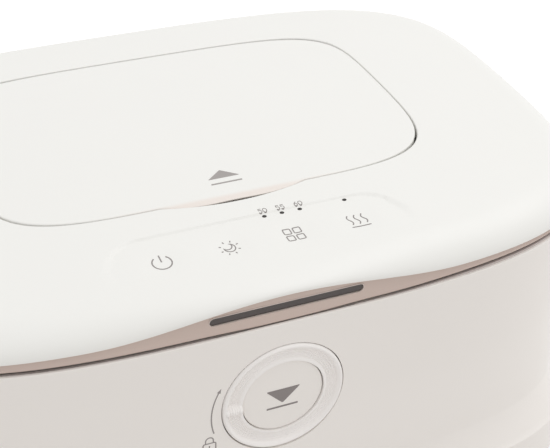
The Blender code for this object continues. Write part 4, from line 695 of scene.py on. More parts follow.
def ring_profile(points):
    """Rings of the body's outline from (offset, height) points."""
    rings = []
    for offset, height in points:
        square = np.clip((WAIST_Z - height) / (WAIST_Z - SKIRT_Z), 0, 1)
        ring = level(body(offset, BODY_EXPONENT + (SKIRT_EXPONENT - BODY_EXPONENT) * square), height)
        if height > RIM_Z - RIM_START_DROP - RIM_EDGE / 2:
            ring[:, 2] += rim_rise(ring[:, 0], ring[:, 1])
        rings.append(ring)
    return rings


def build_base_shell():
    """Outer housing of the base with its crisp flared skirt, rim, dial hole and hinge bays."""
    crease = SKIRT_Z + SKIRT_CREASE
    profile = rounded([
        (FLARE - WALL, FLOOR_GAP), (FLARE, FLOOR_GAP), (FLARE, SKIRT_Z),
        (float(base_offset(crease)), crease),
    ], SKIRT_STEP)
    neck = np.linspace(crease, WAIST_Z, BASE_HEIGHT_STEPS)[1:]
    belly = np.linspace(WAIST_Z, WALL_START_Z, BASE_HEIGHT_STEPS)[1:]
    wall = np.linspace(WALL_START_Z, RIM_Z - WALL_END_DROP, 6)[1:]
    profile += [(float(base_offset(height)), float(height)) for height in (*neck, *belly, *wall)]
    profile += rounded([
        (0, RIM_Z - RIM_START_DROP), (0, RIM_Z), (-RIM_WALL, RIM_Z), (-RIM_WALL, LEDGE_Z),
        (-WALL, LEDGE_Z), (-WALL, WALL_START_Z),
    ], RIM_EDGE)
    profile += [(WAIST_BULGE - WALL, WAIST_Z), (FLARE - WALL, SKIRT_Z)]
    mesh = loft_mesh("base_shell_fine", ring_profile(profile), wrap=True)
    ears = [
        box_mesh((centre - EAR_HALF, HINGE_Y - EAR_DEPTH, HINGE_Z - EAR_HALF_HEIGHT),
                 (centre + EAR_HALF, HINGE_Y + OVERRUN, HINGE_Z + EAR_HALF_HEIGHT))
        for centre in (-BAY_X, BAY_X)
    ]
    mesh = carve(mesh, ears, "UNION")
    tools = [
        box_mesh((centre - BAY_HALF, HINGE_Y - BAY_DEPTH, HINGE_Z - BAY_DROP),
                 (centre + BAY_HALF, HALF_Y + OVERRUN, RIM_Z + 2 * OVERRUN))
        for centre in (-BAY_X, BAY_X)
    ]
    tools += [
        drum(DIAL_HOLE, (0, FRONT_Y - OVERRUN, DIAL_Z), (0, FRONT_Y + DIAL_HOLE_DEPTH, DIAL_Z)),
        drum(INLET_RADIUS, (INLET_X, HALF_Y - INLET_DEPTH, INLET_Z), (INLET_X, HALF_Y + OVERRUN, INLET_Z)),
    ]
    shell = finish_piece("base_shell_fine", carve(mesh, tools), FINISH["body"])
    place(shell, "base", "white_plastic", "base_shell")


def build_rim_lip():
    """Thin raised lip inside the rim, seen in the parting gap, coloured grey as painted shade of the white
    rim there.
    """
    profile = rounded([
        (-RIM_LIP_INNER, RIM_Z - RIM_LIP_HEIGHT), (-RIM_LIP_OUTER, RIM_Z - RIM_LIP_HEIGHT),
        (-RIM_LIP_OUTER, RIM_Z), (-RIM_LIP_INNER, RIM_Z),
    ], RIM_LIP_EDGE)
    rings = []
    for offset, height in profile:
        ring = level(body(offset), height)
        if height > RIM_Z - RIM_LIP_HEIGHT / 2:
            x, y = ring[:, 0], ring[:, 1]
            ring[:, 2] += rim_rise(x, y) + lid_lift(x, y)
        rings.append(ring)
    place(loft("rim_lip", rings, FINISH["lip"], wrap=True), "base", "white_plastic")


def build_feet():
    """Four turned rubber feet with a soft edge and a shallow cup."""
    centre = 2 * FOOT_CUP
    profile = [(centre, FOOT_CUP), (FOOT_CUP_RADIUS, FOOT_CUP)]
    profile += rounded([
        (FOOT_CUP_RADIUS + centre, 0.0), (FOOT_RADIUS, 0.0),
        (FOOT_RADIUS, FOOT_HEIGHT), (centre, FOOT_HEIGHT),
    ], FOOT_EDGE, 5)
    for name, sign_x, sign_y in (
        ("front_left", -1, -1), ("front_right", 1, -1), ("rear_left", -1, 1), ("rear_right", 1, 1)
    ):
        spot = np.array([sign_x * FOOT_X, sign_y * FOOT_Y])
        rings = [level(circle(radius, FOOT_STEPS) + spot, height) for radius, height in profile]
        place(loft("fine_foot_" + name, rings, FINISH["rubber"]), "base", "rubber", "foot_" + name)


def build_bin():
    """Wipe bin with rounded floor, drafted walls and a flange on the ledge."""
    def ring(offset, height):
        return level(outline(BIN_HALF_X + offset, BIN_HALF_Y + offset, BIN_EXPONENT, AROUND), height)

    def floor_round(inset, low, radius):
        turns = np.linspace(0, math.pi / 2, 8)
        return [
            ring(-inset - radius * (1 - math.sin(turn)), low + radius * (1 - math.cos(turn)))
            for turn in turns
        ]

    low, top, edge = FLANGE_LOW_Z, FLANGE_TOP_Z, FLANGE_EDGE
    rings = floor_round(0.0, BIN_BOTTOM_Z, BIN_CORNER)
    rings += [ring(BIN_DRAFT, low - 2.5 * edge), ring(BIN_DRAFT, low)]
    rings += [level(body(-FLANGE_INSET), low), level(body(-FLANGE_INSET), top - edge)]
    rings += [level(body(-FLANGE_INSET - edge), top)]
    rings += [ring(3 * edge, top), ring(edge, top - edge), ring(0.0, top - 3.5 * edge)]
    rings += floor_round(BIN_WALL, BIN_BOTTOM_Z + BIN_WALL, BIN_CORNER - BIN_WALL)[::-1]
    mesh = loft_mesh("wipe_bin_fine", rings)
    under, over = FLANGE_LOW_Z - OVERRUN, FLANGE_TOP_Z + OVERRUN
    cuts = [box_mesh((-LATCH_NOTCH_HALF, FRONT_Y, under), (LATCH_NOTCH_HALF, LATCH_NOTCH_Y, over))]
    cuts += [
        box_mesh((centre - BAY_HALF, HINGE_Y - EAR_DEPTH, under), (centre + BAY_HALF, HALF_Y, over))
        for centre in (-BAY_X, BAY_X)
    ]
    bin_piece = finish_piece("wipe_bin_fine", carve(mesh, cuts), FINISH["inner"])
    place(bin_piece, "base", "inner_plastic", "wipe_bin")


def smooth_curve(points, count):
    """Points along a smooth monotone-spaced curve through (a, b) points."""
    knots = np.array(points, float)
    slopes = np.gradient(knots[:, 1], knots[:, 0])
    where = np.linspace(knots[0, 0], knots[-1, 0], count)
    index = np.clip(np.searchsorted(knots[:, 0], where, side="right") - 1, 0, len(knots) - 2)
    span = knots[index + 1, 0] - knots[index, 0]
    t = (where - knots[index, 0]) / span
    value = (
        (2 * t ** 3 - 3 * t ** 2 + 1) * knots[index, 1] + (t ** 3 - 2 * t ** 2 + t) * span * slopes[index]
        + (3 * t ** 2 - 2 * t ** 3) * knots[index + 1, 1] + (t ** 3 - t ** 2) * span * slopes[index + 1]
    )
    return list(zip(where.tolist(), value.tolist()))


def build_lock_ring():
    """Ring with a raised lip, a dished and finely grooved face and an oval pointer."""
    shares = [
        (0.00, -0.2), (0.08, -0.2), (0.22, 0.65), (0.45, 1.0), (0.66, 0.65),
        (0.77, -0.5), (0.86, -0.93), (0.95, -0.65), (1.00, 0.1),
    ]
    width = RING_RADIUS - RING_INNER
    face = []
    for share, depth in smooth_curve(shares, 84):
        groove = 0.0
        if GROOVE_START < share < GROOVE_END:
            phase = math.tau * GROOVES * (share - GROOVE_START) / (GROOVE_END - GROOVE_START)
            groove = GROOVE_DEPTH * (0.5 - 0.5 * math.cos(phase))
        face.append((RING_INNER + width * share, RING_DISH * depth + groove))
    profile = face + [
        (RING_RADIUS, RING_NECK_DEPTH), (RING_FLANGE_RADIUS, RING_NECK_DEPTH),
        (RING_FLANGE_RADIUS, RING_BACK_DEPTH), (RING_INNER, RING_BACK_DEPTH),
        (RING_INNER, 0.0012), (RING_INNER, 0.0003),
    ]

    def pointer(points, depth):
        across, up = points.T
        along = across * math.cos(POINTER_TURN) + up * math.sin(POINTER_TURN) - POINTER_REACH
        aside = -across * math.sin(POINTER_TURN) + up * math.cos(POINTER_TURN)
        share = 1 - (along / POINTER_HALF_LENGTH) ** 2 - (aside / POINTER_HALF_WIDTH) ** 2
        return np.where(depth < POINTER_FACE_DEPTH, POINTER_RISE * np.clip(share, 0, 1), 0.0)

    rings = []
    for radius, depth in profile:
        points = circle(radius, RING_STEPS)
        rings.append(upright(points + DIAL_CENTRE, FRONT_Y + depth - pointer(points, depth)))
    # The ring's lighter white is painted light on its dished face.
    ring = loft("lock_ring_fine", rings, FINISH["dial"], wrap=True)
    place(ring, "lock_ring", "white_plastic", "lock_ring")


def build_button():
    """Round push button with a soft edge, a skirt and its stem."""
    profile = [(radius, BUTTON_SUNK) for radius in (0.0003, 0.0040, 0.0080)]
    profile += rounded([
        (0.0100, BUTTON_SUNK), (BUTTON_RADIUS, BUTTON_SUNK), (BUTTON_RADIUS, BUTTON_SKIRT_DEPTH),
    ], BUTTON_EDGE, 8)
    profile += [
        (BUTTON_INNER, BUTTON_SKIRT_DEPTH), (BUTTON_INNER, BUTTON_SKIN_DEPTH),
        (STEM_RADIUS, BUTTON_SKIN_DEPTH), (STEM_RADIUS, STEM_DEPTH), (STEM_HEAD_RADIUS, STEM_DEPTH),
        (STEM_HEAD_RADIUS, STEM_HEAD_DEPTH), (STEM_RADIUS / 3, STEM_END_DEPTH), (0.0002, STEM_END_DEPTH),
    ]
    rings = [upright(circle(radius, TURN_STEPS) + DIAL_CENTRE, FRONT_Y + depth) for radius, depth in profile]
    place(loft("release_button_fine", rings, FINISH["body"]), "button", "white_plastic", "release_button")


def stadium(half_length, half_height, count=24):
    """Slot outline with round ends, as (x, z) points."""
    points = []
    for side in (1, -1):
        for step in range(count + 1):
            turn = math.pi * (step / count - side / 2)
            points.append((
                side * (half_length - half_height) + half_height * math.cos(turn),
                WINDOW_Z + half_height * math.sin(turn),
            ))
    return np.array(points)


def build_window():
    """Smoked window with a thin rim round its slot; the rim's bevelled lip catches the light, and its paler
    taupe adds painted highlight.
    """
    face = FRONT_Y + WINDOW_SUNK
    front = face + LENS_SUNK
    step = FRONT_Y + LENS_STEP

    def slot_ring(grow, y):
        return upright(stadium(WINDOW_HALF + grow, WINDOW_HALF_HEIGHT + grow), y)

    rings = [upright(stadium(*LENS_FLANGE), y) for y in (step + LENS_FLANGE_THICKNESS, step)]
    rings += [
        slot_ring(-LENS_FIT * fits, y)
        for fits, y in ((1, step), (1, front + 4 * LENS_FIT), (2, front + LENS_FIT), (5, front))
    ]
    lens = loft("light_window_fine", rings, FINISH["lens"])
    place(lens, "lid", "smoked_plastic", "light_window")
    rim = [
        slot_ring(grow, face + sunk)
        for grow, sunk in (
            (0.0, 0.0006), (-0.00006, 0.0006), (-0.00006, 0.00002), (0.00002, -0.00005),
            (0.00014, -0.00005), (0.00022, 0.00003), (0.0, 0.00010),
        )
    ]
    place(loft("window_rim", rim, FINISH["rim"], wrap=True), "lid", "taupe_plastic")


def build_lid_frame():
    """Taupe band under the cover, with its inner shelf and the slot for the window."""
    spigot = COVER_WALL + GAP
    inner = spigot + BAND_INNER
    shelf = LID_BOTTOM_Z + SHELF_THICKNESS

    def shoulder(x, y):
        return cover_edge(x, y) - GAP

    def lower(x, y):
        return LID_BOTTOM_Z + rim_rise(x, y) + lid_lift(x, y) - band_sag(x, y)

    def top(x, y):
        return np.minimum(cover_edge(x, y) + SPIGOT_RISE, dome(x, y) - COVER_WALL - 2 * GAP)

    face = body(-BAND_RECESS)
    rings = [level(body(-BAND_FOOT), lower)]
    for turn in np.linspace(0, math.pi / 2, 7)[:-1]:
        points = body(-BAND_RECESS - BAND_ROUND * (1 - math.sin(turn)))
        rings.append(level(points, lower(points[:, 0], points[:, 1]) + BAND_ROUND * (1 - math.cos(turn))))
    low = level(face, lambda x, y: lower(x, y) + BAND_ROUND)
    high = level(body(-BAND_RECESS - BAND_LEAN), shoulder)
    rings += [low + (high - low) * share for share in np.linspace(0, 1, 5)]
    rings += [level(body(-spigot), shoulder), level(body(-spigot), top), level(body(-inner), top)]
    rings += [level(body(-inner), shelf)]
    rings += [level(body(-SHELF_INNER), height) for height in (shelf, LID_BOTTOM_Z)]
    mesh = loft_mesh("lid_frame_fine", rings, wrap=True)
    slot = loft_mesh("slot", [
        upright(stadium(WINDOW_HALF, WINDOW_HALF_HEIGHT), y)
        for y in (FRONT_Y + inner + OVERRUN, FRONT_Y - OVERRUN)
    ])
    frame_piece = finish_piece("lid_frame_fine", carve(mesh, [add_object("slot", slot)]), FINISH["band"])
    place(frame_piece, "lid", "taupe_plastic", "lid_frame")


def build_knuckles():
    """Two hinge knuckles under the lid's frame, each a drum with a neck."""
    start = math.pi / 2 + math.asin(NECK_BACK / KNUCKLE_RADIUS)
    end = math.pi / 2 - math.asin(NECK_FRONT / KNUCKLE_RADIUS) + math.tau
    turns = np.linspace(start, end, KNUCKLE_POINTS)
    side_points = [(KNUCKLE_RADIUS * math.cos(turn), KNUCKLE_RADIUS * math.sin(turn)) for turn in turns]
    side_points += [(y, LID_BOTTOM_Z - HINGE_Z + NECK_SINK) for y in (NECK_FRONT, -NECK_BACK)]
    side_points = np.array(side_points)
    flat = KNUCKLE_HALF - KNUCKLE_EDGE
    for name, centre in (("left", -BAY_X), ("right", BAY_X)):
        rings = []
        for x, shrink in ((-KNUCKLE_HALF, 0.93), (-flat, 1.0), (flat, 1.0), (KNUCKLE_HALF, 0.93)):
            points = side_points * np.array([shrink, 1.0])
            points[:KNUCKLE_POINTS, 1] *= shrink
            rings.append(np.column_stack([
                np.full(len(points), centre + x), HINGE_Y + points[:, 0], HINGE_Z + points[:, 1]
            ]))
        place(loft("hinge_knuckle_" + name, rings, FINISH["band"]), "lid", "taupe_plastic")


def opening(margin):
    """The cover's flap opening with its finger scoop, grown by a margin."""
    points = two_part(
        OPENING_X + margin, OPENING_Y + margin, OPENING_REAR + margin,
        OPENING_EXPONENT, OPENING_REAR_EXPONENT, FLAP_CENTRE_Y,
    )
    half = SCOOP_HALF + margin
    share = np.clip(1 - (points[:, 0] / half) ** 2, 0, 1)
    points[:, 1] -= np.where(points[:, 1] < DOME_CENTRE_Y, SCOOP_DEPTH * share, 0)
    return points


def shoulder_rings(depth, angles):
    """Rings of the cover's rounded shoulder at a depth under its skin."""
    rim = body(-depth)
    foot = cover_edge(rim[:, 0], rim[:, 1]) + COVER_STRAIGHT
    drop = dome(rim[:, 0], rim[:, 1]) - depth - foot
    rings = []
    for turn in angles:
        points = body(-depth - (SHOULDER_WIDTH - depth) * (1 - math.cos(turn)))
        rings.append(under_dome(points, depth + drop * (1 - math.sin(turn))))
    return rings


def build_lid_cover():
    """White cover: arched edge, rounded shoulder, key panel with dimples, and the flap opening."""
    edge = body(0)
    base = cover_edge(edge[:, 0], edge[:, 1])
    rings = [
        level(body(-COVER_EDGE), base), level(body(-COVER_EDGE / 3), base + COVER_EDGE / 3),
        level(edge, base + COVER_EDGE),
    ]
    angles = np.linspace(0, math.pi / 2, SHOULDER_STEPS)
    rings += shoulder_rings(0.0, angles)
    outer = body(-SHOULDER_WIDTH)
    inner = opening(COVER_EDGE)
    for share in np.linspace(0, 1, TOP_STEPS)[1:]:
        rings.append(level(outer + (inner - outer) * share, lid_top))
    for depth, margin in (
        (0.00003, 0.00018), (0.0001, 0.0001), (COVER_EDGE, 0.0),
        (COVER_WALL - 0.0001, 0.0), (COVER_WALL, 0.0001),
    ):
        points = opening(margin)
        rings.append(level(points, lid_top(points[:, 0], points[:, 1]) - depth))
    rings += shoulder_rings(COVER_WALL, angles[::-3])
    rings.append(level(body(-COVER_WALL), base))
    cover = loft("lid_cover_fine", rings, FINISH["lid"], wrap=True)
    place(cover, "lid", "white_plastic", "lid_cover")
    for name, side in (("left", -1), ("right", 1)):
        block = soft_box("flap_socket_" + name, (side * SOCKET_X, FLAP_PIN_Y, SOCKET_Z), SOCKET_HALF)
        place(block, "lid", "white_plastic")


def soft_box(name, centre, half):
    """White block with rounded upright edges and softened ends."""
    points = outline(half[0], half[1], 8.0, 64)
    rings = [
        level(points * shrink, height * half[2]) + np.array(centre)
        for height, shrink in ((-1, 0.8), (-0.85, 1), (0.85, 1), (1, 0.8))
    ]
    return loft(name, rings, FINISH["lid"])


def build_flap():
    """Domed dispensing flap with a soft edge, a skirt and two hinge lugs."""
    def ring(offset, share=1.0, lip=None):
        points = two_part(
            (FLAP_X + offset) * share, (FLAP_Y + offset) * share, (FLAP_REAR + offset) * share,
            FLAP_EXPONENT, FLAP_REAR_EXPONENT, FLAP_CENTRE_Y,
        )
        if lip is not None:
            reach = lip_share(points)
            ahead = SCOOP_DEPTH * reach - SLIT * reach ** SLIT_POWER
            points[:, 1] -= ahead * lip - LIP_BACK * reach * (1 - lip)
        return points

    def lip_share(points):
        share = np.clip(1 - (points[:, 0] / SCOOP_HALF) ** 2, 0, 1)
        return np.where(points[:, 1] < FLAP_CENTRE_Y - FLAP_Y / 2, share, 0)

    rings = [level(ring(-FLAP_EDGE, share), dome) for share in np.linspace(0.03, 0.96, 24)]
    for turn in np.linspace(0, math.pi / 2, 12):
        share = turn / (math.pi / 2)
        points = ring(-FLAP_EDGE * (1 - math.sin(turn)), 1.0, share)
        lip = lip_share(points)
        drop = FLAP_EDGE * (1 - math.cos(turn)) * (1 - lip) + LIP_DROP * share ** LIP_POWER * lip
        rings.append(under_dome(points, drop))
    rings += [under_dome(ring(0, 1.0, 1.0), FLAP_EDGE + LIP_EDGE), under_dome(ring(0), LIP_DEPTH)]
    edge = FLAP_SKIRT_EDGE
    for offset, depth in (
        (0, FLAP_SKIRT - edge), (-edge, FLAP_SKIRT), (edge - FLAP_WALL, FLAP_SKIRT),
        (-FLAP_WALL, FLAP_SKIRT - edge), (-FLAP_WALL, FLAP_THICKNESS),
    ):
        points = ring(offset)
        rear = smoothstep(*REAR_SKIRT_Y, points[:, 1]) * (depth > FLAP_THICKNESS)
        rings.append(under_dome(points, depth * (1 - rear) + REAR_SKIRT * rear))
    rings += [under_dome(ring(-FLAP_WALL, share), FLAP_THICKNESS) for share in (0.7, 0.4, 0.05)]
    flap = loft("flap_cover_fine", rings, FINISH["flap"])
    place(flap, "flap", "white_plastic", "flap_cover")
    for name, side in (("left", -1), ("right", 1)):
        lug = soft_box("flap_lug_" + name, (side * LUG_X, FLAP_PIN_Y, LUG_Z), LUG_HALF)
        place(lug, "flap", "white_plastic")


def oval(half_x, half_y, grow=0.0):
    """Oval round the dispensing port."""
    return outline(half_x + grow, half_y + grow, OVAL_EXPONENT, AROUND, DOME_CENTRE_Y)


def build_tray():
    """Tray under the flap, with a rounded floor and a hole for the port."""
    hole = oval(PORT_HOLE_X, PORT_HOLE_Y)
    rings = [level(hole, TRAY_BOTTOM_Z)]
    rings += [
        level(opening(margin), TRAY_BOTTOM_Z + rise)
        for margin, rise in ((0.0001, 0), (0.0012, 0.0005), (TRAY_WALL, TRAY_CORNER))
    ]
    rings += [
        under_dome(opening(margin), depth)
        for margin, depth in (
            (TRAY_WALL, TRAY_FLANGE_LOW), (TRAY_FLANGE, TRAY_FLANGE_LOW),
            (TRAY_FLANGE, TRAY_FLANGE_TOP), (0.0, TRAY_FLANGE_TOP),
        )
    ]
    for turn in np.linspace(0, math.pi / 2, 7):
        inside = opening(-TRAY_CORNER * (1 - math.cos(turn)))
        rings.append(level(inside, TRAY_FLOOR_Z + TRAY_CORNER * (1 - math.sin(turn))))
    rings.append(level(hole, TRAY_FLOOR_Z))
    tray = loft("dispensing_tray_fine", rings, FINISH["inner"], wrap=True)
    place(tray, "lid", "inner_plastic", "dispensing_tray")


def build_port():
    """Silicone port with a raised lip and a dished mouth for the wipes."""
    base = TRAY_FLOOR_Z + GAP
    skin = PORT_SKIN
    top = TRAY_FLOOR_Z + PORT_RISE
    outside = rounded([
        (0.0400, 0.0180, base), (0.0400, 0.0180, base + skin), (0.0370, 0.0150, base + skin),
        (0.0370, 0.0150, top), (0.0354, 0.0134, top), (0.0338, 0.0118, base + skin),
        (0.0285, 0.0050, base + skin / 2), (0.0285, 0.0050, base - skin / 2),
        (0.0296, 0.0096, base - skin / 3), (0.0296, 0.0096, PORT_FOOT_Z), (0.0308, 0.0108, PORT_FOOT_Z),
    ], PORT_ROUND, 4)
    rings = [level(oval(half_x, half_y), height) for half_x, half_y, height in outside]
    rings.append(level(oval(0.0308, 0.0108), base))
    place(loft("wipe_port_fine", rings, FINISH["silicone"], wrap=True), "lid", "silicone", "wipe_port")


def band_between(name, outer, inner, low, high, edge, finish, body_name, slot, *nodes):
    """Flat ring or plate between two outlines with softened edges."""
    rings = [level(inner(0), low + edge), level(inner(edge), low)]
    rings += [level(outer(-edge), low), level(outer(0), low + edge)]
    rings += [level(outer(0), high - edge), level(outer(-edge), high)]
    rings += [level(inner(edge), high), level(inner(0), high - edge)]
    place(loft(name, rings, finish, wrap=True), body_name, slot, *nodes)


def build_linings():
    """Liner, seals and the flap's inner plate."""
    band_between(
        "lid_liner_fine",
        lambda grow: body(grow - LINER_INSET), lambda grow: oval(PORT_HOLE_X, PORT_HOLE_Y, grow),
        LINER_BOTTOM_Z, LINER_TOP_Z, 0.0003, FINISH["inner"], "lid", "inner_plastic", "lid_liner",
    )

    def seal_ring(grow):
        return outline(SEAL_CENTRE[0] + grow, SEAL_CENTRE[1] + grow, BIN_EXPONENT, AROUND)

    band_between(
        "lid_seal_fine",
        lambda grow: seal_ring(grow + SEAL_HALF_WIDTH), lambda grow: seal_ring(grow - SEAL_HALF_WIDTH),
        SEAL_LOW_Z, SEAL_TOP_Z, 0.0008, FINISH["silicone"], "lid", "silicone", "lid_seal",
    )
    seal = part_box("flap_seal")
    band_between(
        "flap_seal_fine",
        lambda grow: oval(*FLAP_SEAL_OUTER, grow), lambda grow: oval(*FLAP_SEAL_INNER, grow),
        seal[0].z, seal[1].z, 0.0006, FINISH["silicone"], "flap", "silicone", "flap_seal",
    )
    low, high = (corner.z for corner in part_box("flap_inner_plate"))
    rings = [
        level(oval(*FLAP_PLATE, grow), height)
        for grow, height in ((-0.0005, low), (0, low + 0.0005), (0, high - 0.0003), (-0.0003, high))
    ]
    place(loft("flap_inner_plate_fine", rings, FINISH["inner"]), "flap", "inner_plastic", "flap_inner_plate")


class Marks:
    """Printed marks on a surface: thin strips and patches gathered in one mesh."""

    def __init__(self, on):
        self.on = on
        self.points = []
        self.faces = []

    def lay(self, spots, lift):
        """Add points on the surface, lifted along its normal, and return their indices."""
        first = len(self.points)
        for a, b in spots:
            here, normal = self.on(a, b)
            self.points.append(here + normal * lift)
        return list(range(first, len(self.points)))

    def patch(self, spots):
        """Filled outline."""
        top = self.lay(spots, INK_LIFT)
        bottom = self.lay(spots, -INK_SIDE)
        self.faces.append(tuple(top))
        self.faces.append(tuple(reversed(bottom)))
        self.walls(top, bottom)

    def walls(self, top, bottom):
        """Side faces between two loops."""
        for index in range(len(top)):
            after = (index + 1) % len(top)
            self.faces.append((top[after], top[index], bottom[index], bottom[after]))

    def line(self, path, width, closed=False):
        """Stroke of a width along a path."""
        path = np.array(path, float)
        if closed:
            ahead = np.roll(path, -1, axis=0) - path
            behind = path - np.roll(path, 1, axis=0)
        else:
            ahead = np.diff(path, axis=0, append=path[-1:] * 2 - path[-2:-1])
            behind = np.diff(path, axis=0, prepend=path[:1] * 2 - path[1:2])
        ahead /= np.linalg.norm(ahead, axis=1, keepdims=True)
        behind /= np.linalg.norm(behind, axis=1, keepdims=True)
        middle = ahead + behind
        middle /= np.linalg.norm(middle, axis=1, keepdims=True)
        side = np.column_stack([-middle[:, 1], middle[:, 0]])
        stretch = 1 / np.clip(np.einsum("ij,ij->i", middle, ahead), MITRE_LIMIT, 1)
        side *= (width / 2 * stretch)[:, None]
        left = path + side
        right = path - side
        tops = [self.lay(edge, INK_LIFT) for edge in (left, right)]
        bottoms = [self.lay(edge, -INK_SIDE) for edge in (left, right)]
        count = len(path)
        for index in range(count if closed else count - 1):
            after = (index + 1) % count
            self.faces.append((tops[0][index], tops[0][after], tops[1][after], tops[1][index]))
            self.faces.append((bottoms[0][after], bottoms[0][index], bottoms[1][index], bottoms[1][after]))
        if closed:
            self.walls(tops[0], bottoms[0])
            self.walls(tops[1][::-1], bottoms[1][::-1])
        else:
            self.walls(tops[0] + tops[1][::-1], bottoms[0] + bottoms[1][::-1])

    def made(self, name, finish, body_name):
        """Turn the marks into one piece."""
        mesh = bpy.data.meshes.new(name)
        mesh.from_pydata([tuple(point) for point in self.points], [], self.faces)
        piece = finish_piece(name, mesh, finish, weighted=False)
        place(piece, body_name, "taupe_plastic")


def on_lid(x, y):
    """Point and normal on the lid's top, from millimetres."""
    x, y = x / 1000, y / 1000
    step = SLOPE_STEP
    slope_x = float(lid_top(x + step, y) - lid_top(x - step, y)) / (2 * step)
    slope_y = float(lid_top(x, y + step) - lid_top(x, y - step)) / (2 * step)
    normal = np.array([-slope_x, -slope_y, 1.0])
    return np.array([x, y, float(lid_top(x, y))]), normal / np.linalg.norm(normal)


def on_front(x, z):
    """Point and normal on the base's front wall, from millimetres."""
    x, z = x / 1000, z / 1000
    y = FRONT_Y * (1 - (abs(x) / HALF_X) ** BODY_EXPONENT) ** (1 / BODY_EXPONENT) - float(base_offset(z))
    normal = np.array([(x / HALF_X) ** 3 * HALF_Y / HALF_X, -1.0, 0.0])
    return np.array([x, y, z]), normal / np.linalg.norm(normal)


def on_button(x, z):
    """Point and normal on the button's face, from millimetres."""
    return np.array([x / 1000, FRONT_Y + BUTTON_SUNK, z / 1000]), np.array([0.0, -1.0, 0.0])


def arc(centre, radius, start, end, count=24, squeeze=1.0):
    """Points of an arc in degrees."""
    turns = np.radians(np.linspace(start, end, count))
    return [
        (centre[0] + radius * math.cos(turn), centre[1] + squeeze * radius * math.sin(turn)) for turn in turns
    ]


def soft_square(centre, half, corner, steps=5):
    """Square outline with round corners."""
    points = []
    for quarter in range(4):
        cx = centre[0] + (half - corner) * (1 if quarter in (0, 3) else -1)
        cy = centre[1] + (half - corner) * (1 if quarter in (0, 1) else -1)
        points += arc((cx, cy), corner, 90 * quarter, 90 * quarter + 90, steps)
    return points


def soft_corners(points, radius, steps=4):
    """Closed outline with each corner rounded."""
    spots = [np.array(point, float) for point in points]
    result = []
    for index, here in enumerate(spots):
        back = spots[index - 1] - here
        on = spots[(index + 1) % len(spots)] - here
        start = here + back / np.linalg.norm(back) * radius
        end = here + on / np.linalg.norm(on) * radius
        result += [tuple(point) for point in bend(start, here, end, steps)]
    return result


def digit_paths(digit):
    """Strokes of a digit in a box one wide and one high."""
    if digit == "0":
        return [(arc((0.5, 0.5), 0.5, 0, 360, 29)[:-1], True)]
    if digit == "5":
        bowl = arc((0.47, 0.31), 0.43, 120, -145, 20, 0.76)
        return [([(0.90, 1.0), (0.14, 1.0)], False), ([(0.17, 1.04), (0.12, 0.52)], False), (bowl, False)]
    loop = arc((0.5, 0.30), 0.42, 0, 360, 23, 0.72)[:-1]
    return [(loop, True), ([(0.76, 1.0), (0.42, 0.84), (0.16, 0.56), (0.09, 0.30)], False)]


def write_number(marks, text, centre_x):
    """Write digits side by side."""
    pitch = DIGIT_WIDTH * 1.28
    start = centre_x - (pitch * (len(text) - 1) + DIGIT_WIDTH) / 2
    for index, digit in enumerate(text):
        left = start + index * pitch
        for path, closed in digit_paths(digit):
            placed = [(left + a * DIGIT_WIDTH, DIGIT_LOW_Y + b * DIGIT_HEIGHT) for a, b in path]
            marks.line(placed, DIGIT_STROKE, closed)


def build_lid_marks():
    """Symbols of the four touch keys, the temperature numbers, and dark patches painted as the shade in the
    indicator holes.
    """
    power = Marks(on_lid)
    power_x = -27.6
    power.line(arc((power_x, -55.3), 2.55, 128, 412, 44), KEY_STROKE)
    power.line([(power_x, -52.4), (power_x, -53.7), (power_x, -55.0)], KEY_STROKE)
    power.made("power_symbol", FINISH["ink"], "lid")
    night = Marks(on_lid)
    crescent = arc((-9.25, -55.35), 1.55, 75, -165, 26) + arc((-9.75, -54.55), 1.35, -145, 30, 20)
    night.line(crescent, MOON_STROKE, True)
    for step in range(8):
        turn = math.radians(45 * step + 22.5)
        ray = [(-9.24 + reach * math.cos(turn), -55.4 + reach * math.sin(turn)) for reach in (2.25, 2.85)]
        night.line(ray, FINE_STROKE)
    night.made("night_light_symbol", FINISH["ink"], "lid")
    grid = Marks(on_lid)
    for a in (-1, 1):
        for b in (-1, 1):
            grid.line(soft_square((8.9 + a * 1.42, -55.5 + b * 1.42), 1.02, 0.35), FINE_STROKE, True)
    grid.made("mode_symbol", FINISH["ink"], "lid")
    heat = Marks(on_lid)
    for x in (25.5, 27.6, 29.7):
        heat.line([
            (x + 0.48 * math.sin(math.tau * share), -56.9 + 3.9 * share) for share in np.linspace(0, 1, 22)
        ], MARK_STROKE)
    heat.line([(24.8, -57.95), (27.6, -57.95), (30.4, -57.95)], MARK_STROKE)
    heat.made("warm_symbol", FINISH["ink"], "lid")
    numbers = Marks(on_lid)
    for text, x in (("50", 4.3), ("55", 9.4), ("60", 14.6)):
        write_number(numbers, text, x)
    numbers.made("temperature_numbers", FINISH["ink"], "lid")
    # Painted shade: flat dark patches stand for the indicator holes.
    holes = Marks(on_lid)
    for x in (4.2, 9.3, 14.5, 27.8):
        holes.patch(arc((x, HOLE_Y), HOLE_RADIUS, 0, 347, 28, HOLE_SQUEEZE))
    holes.made("indicator_hole_shade", FINISH["hole"], "lid")


def build_flap_mark():
    """Lifting mark printed on the flap: a triangle over a bar."""
    mark = Marks(on_lid)
    mark.patch(soft_corners([(-4.6, -28.55), (4.6, -28.55), (0.0, -25.05)], 0.3))
    mark.patch(soft_corners([(-4.5, -31.0), (4.5, -31.0), (4.5, -30.45), (-4.5, -30.45)], MARK_SHORT_ROUND))
    mark.made("flap_lift_mark", FINISH["pale ink"], "flap")


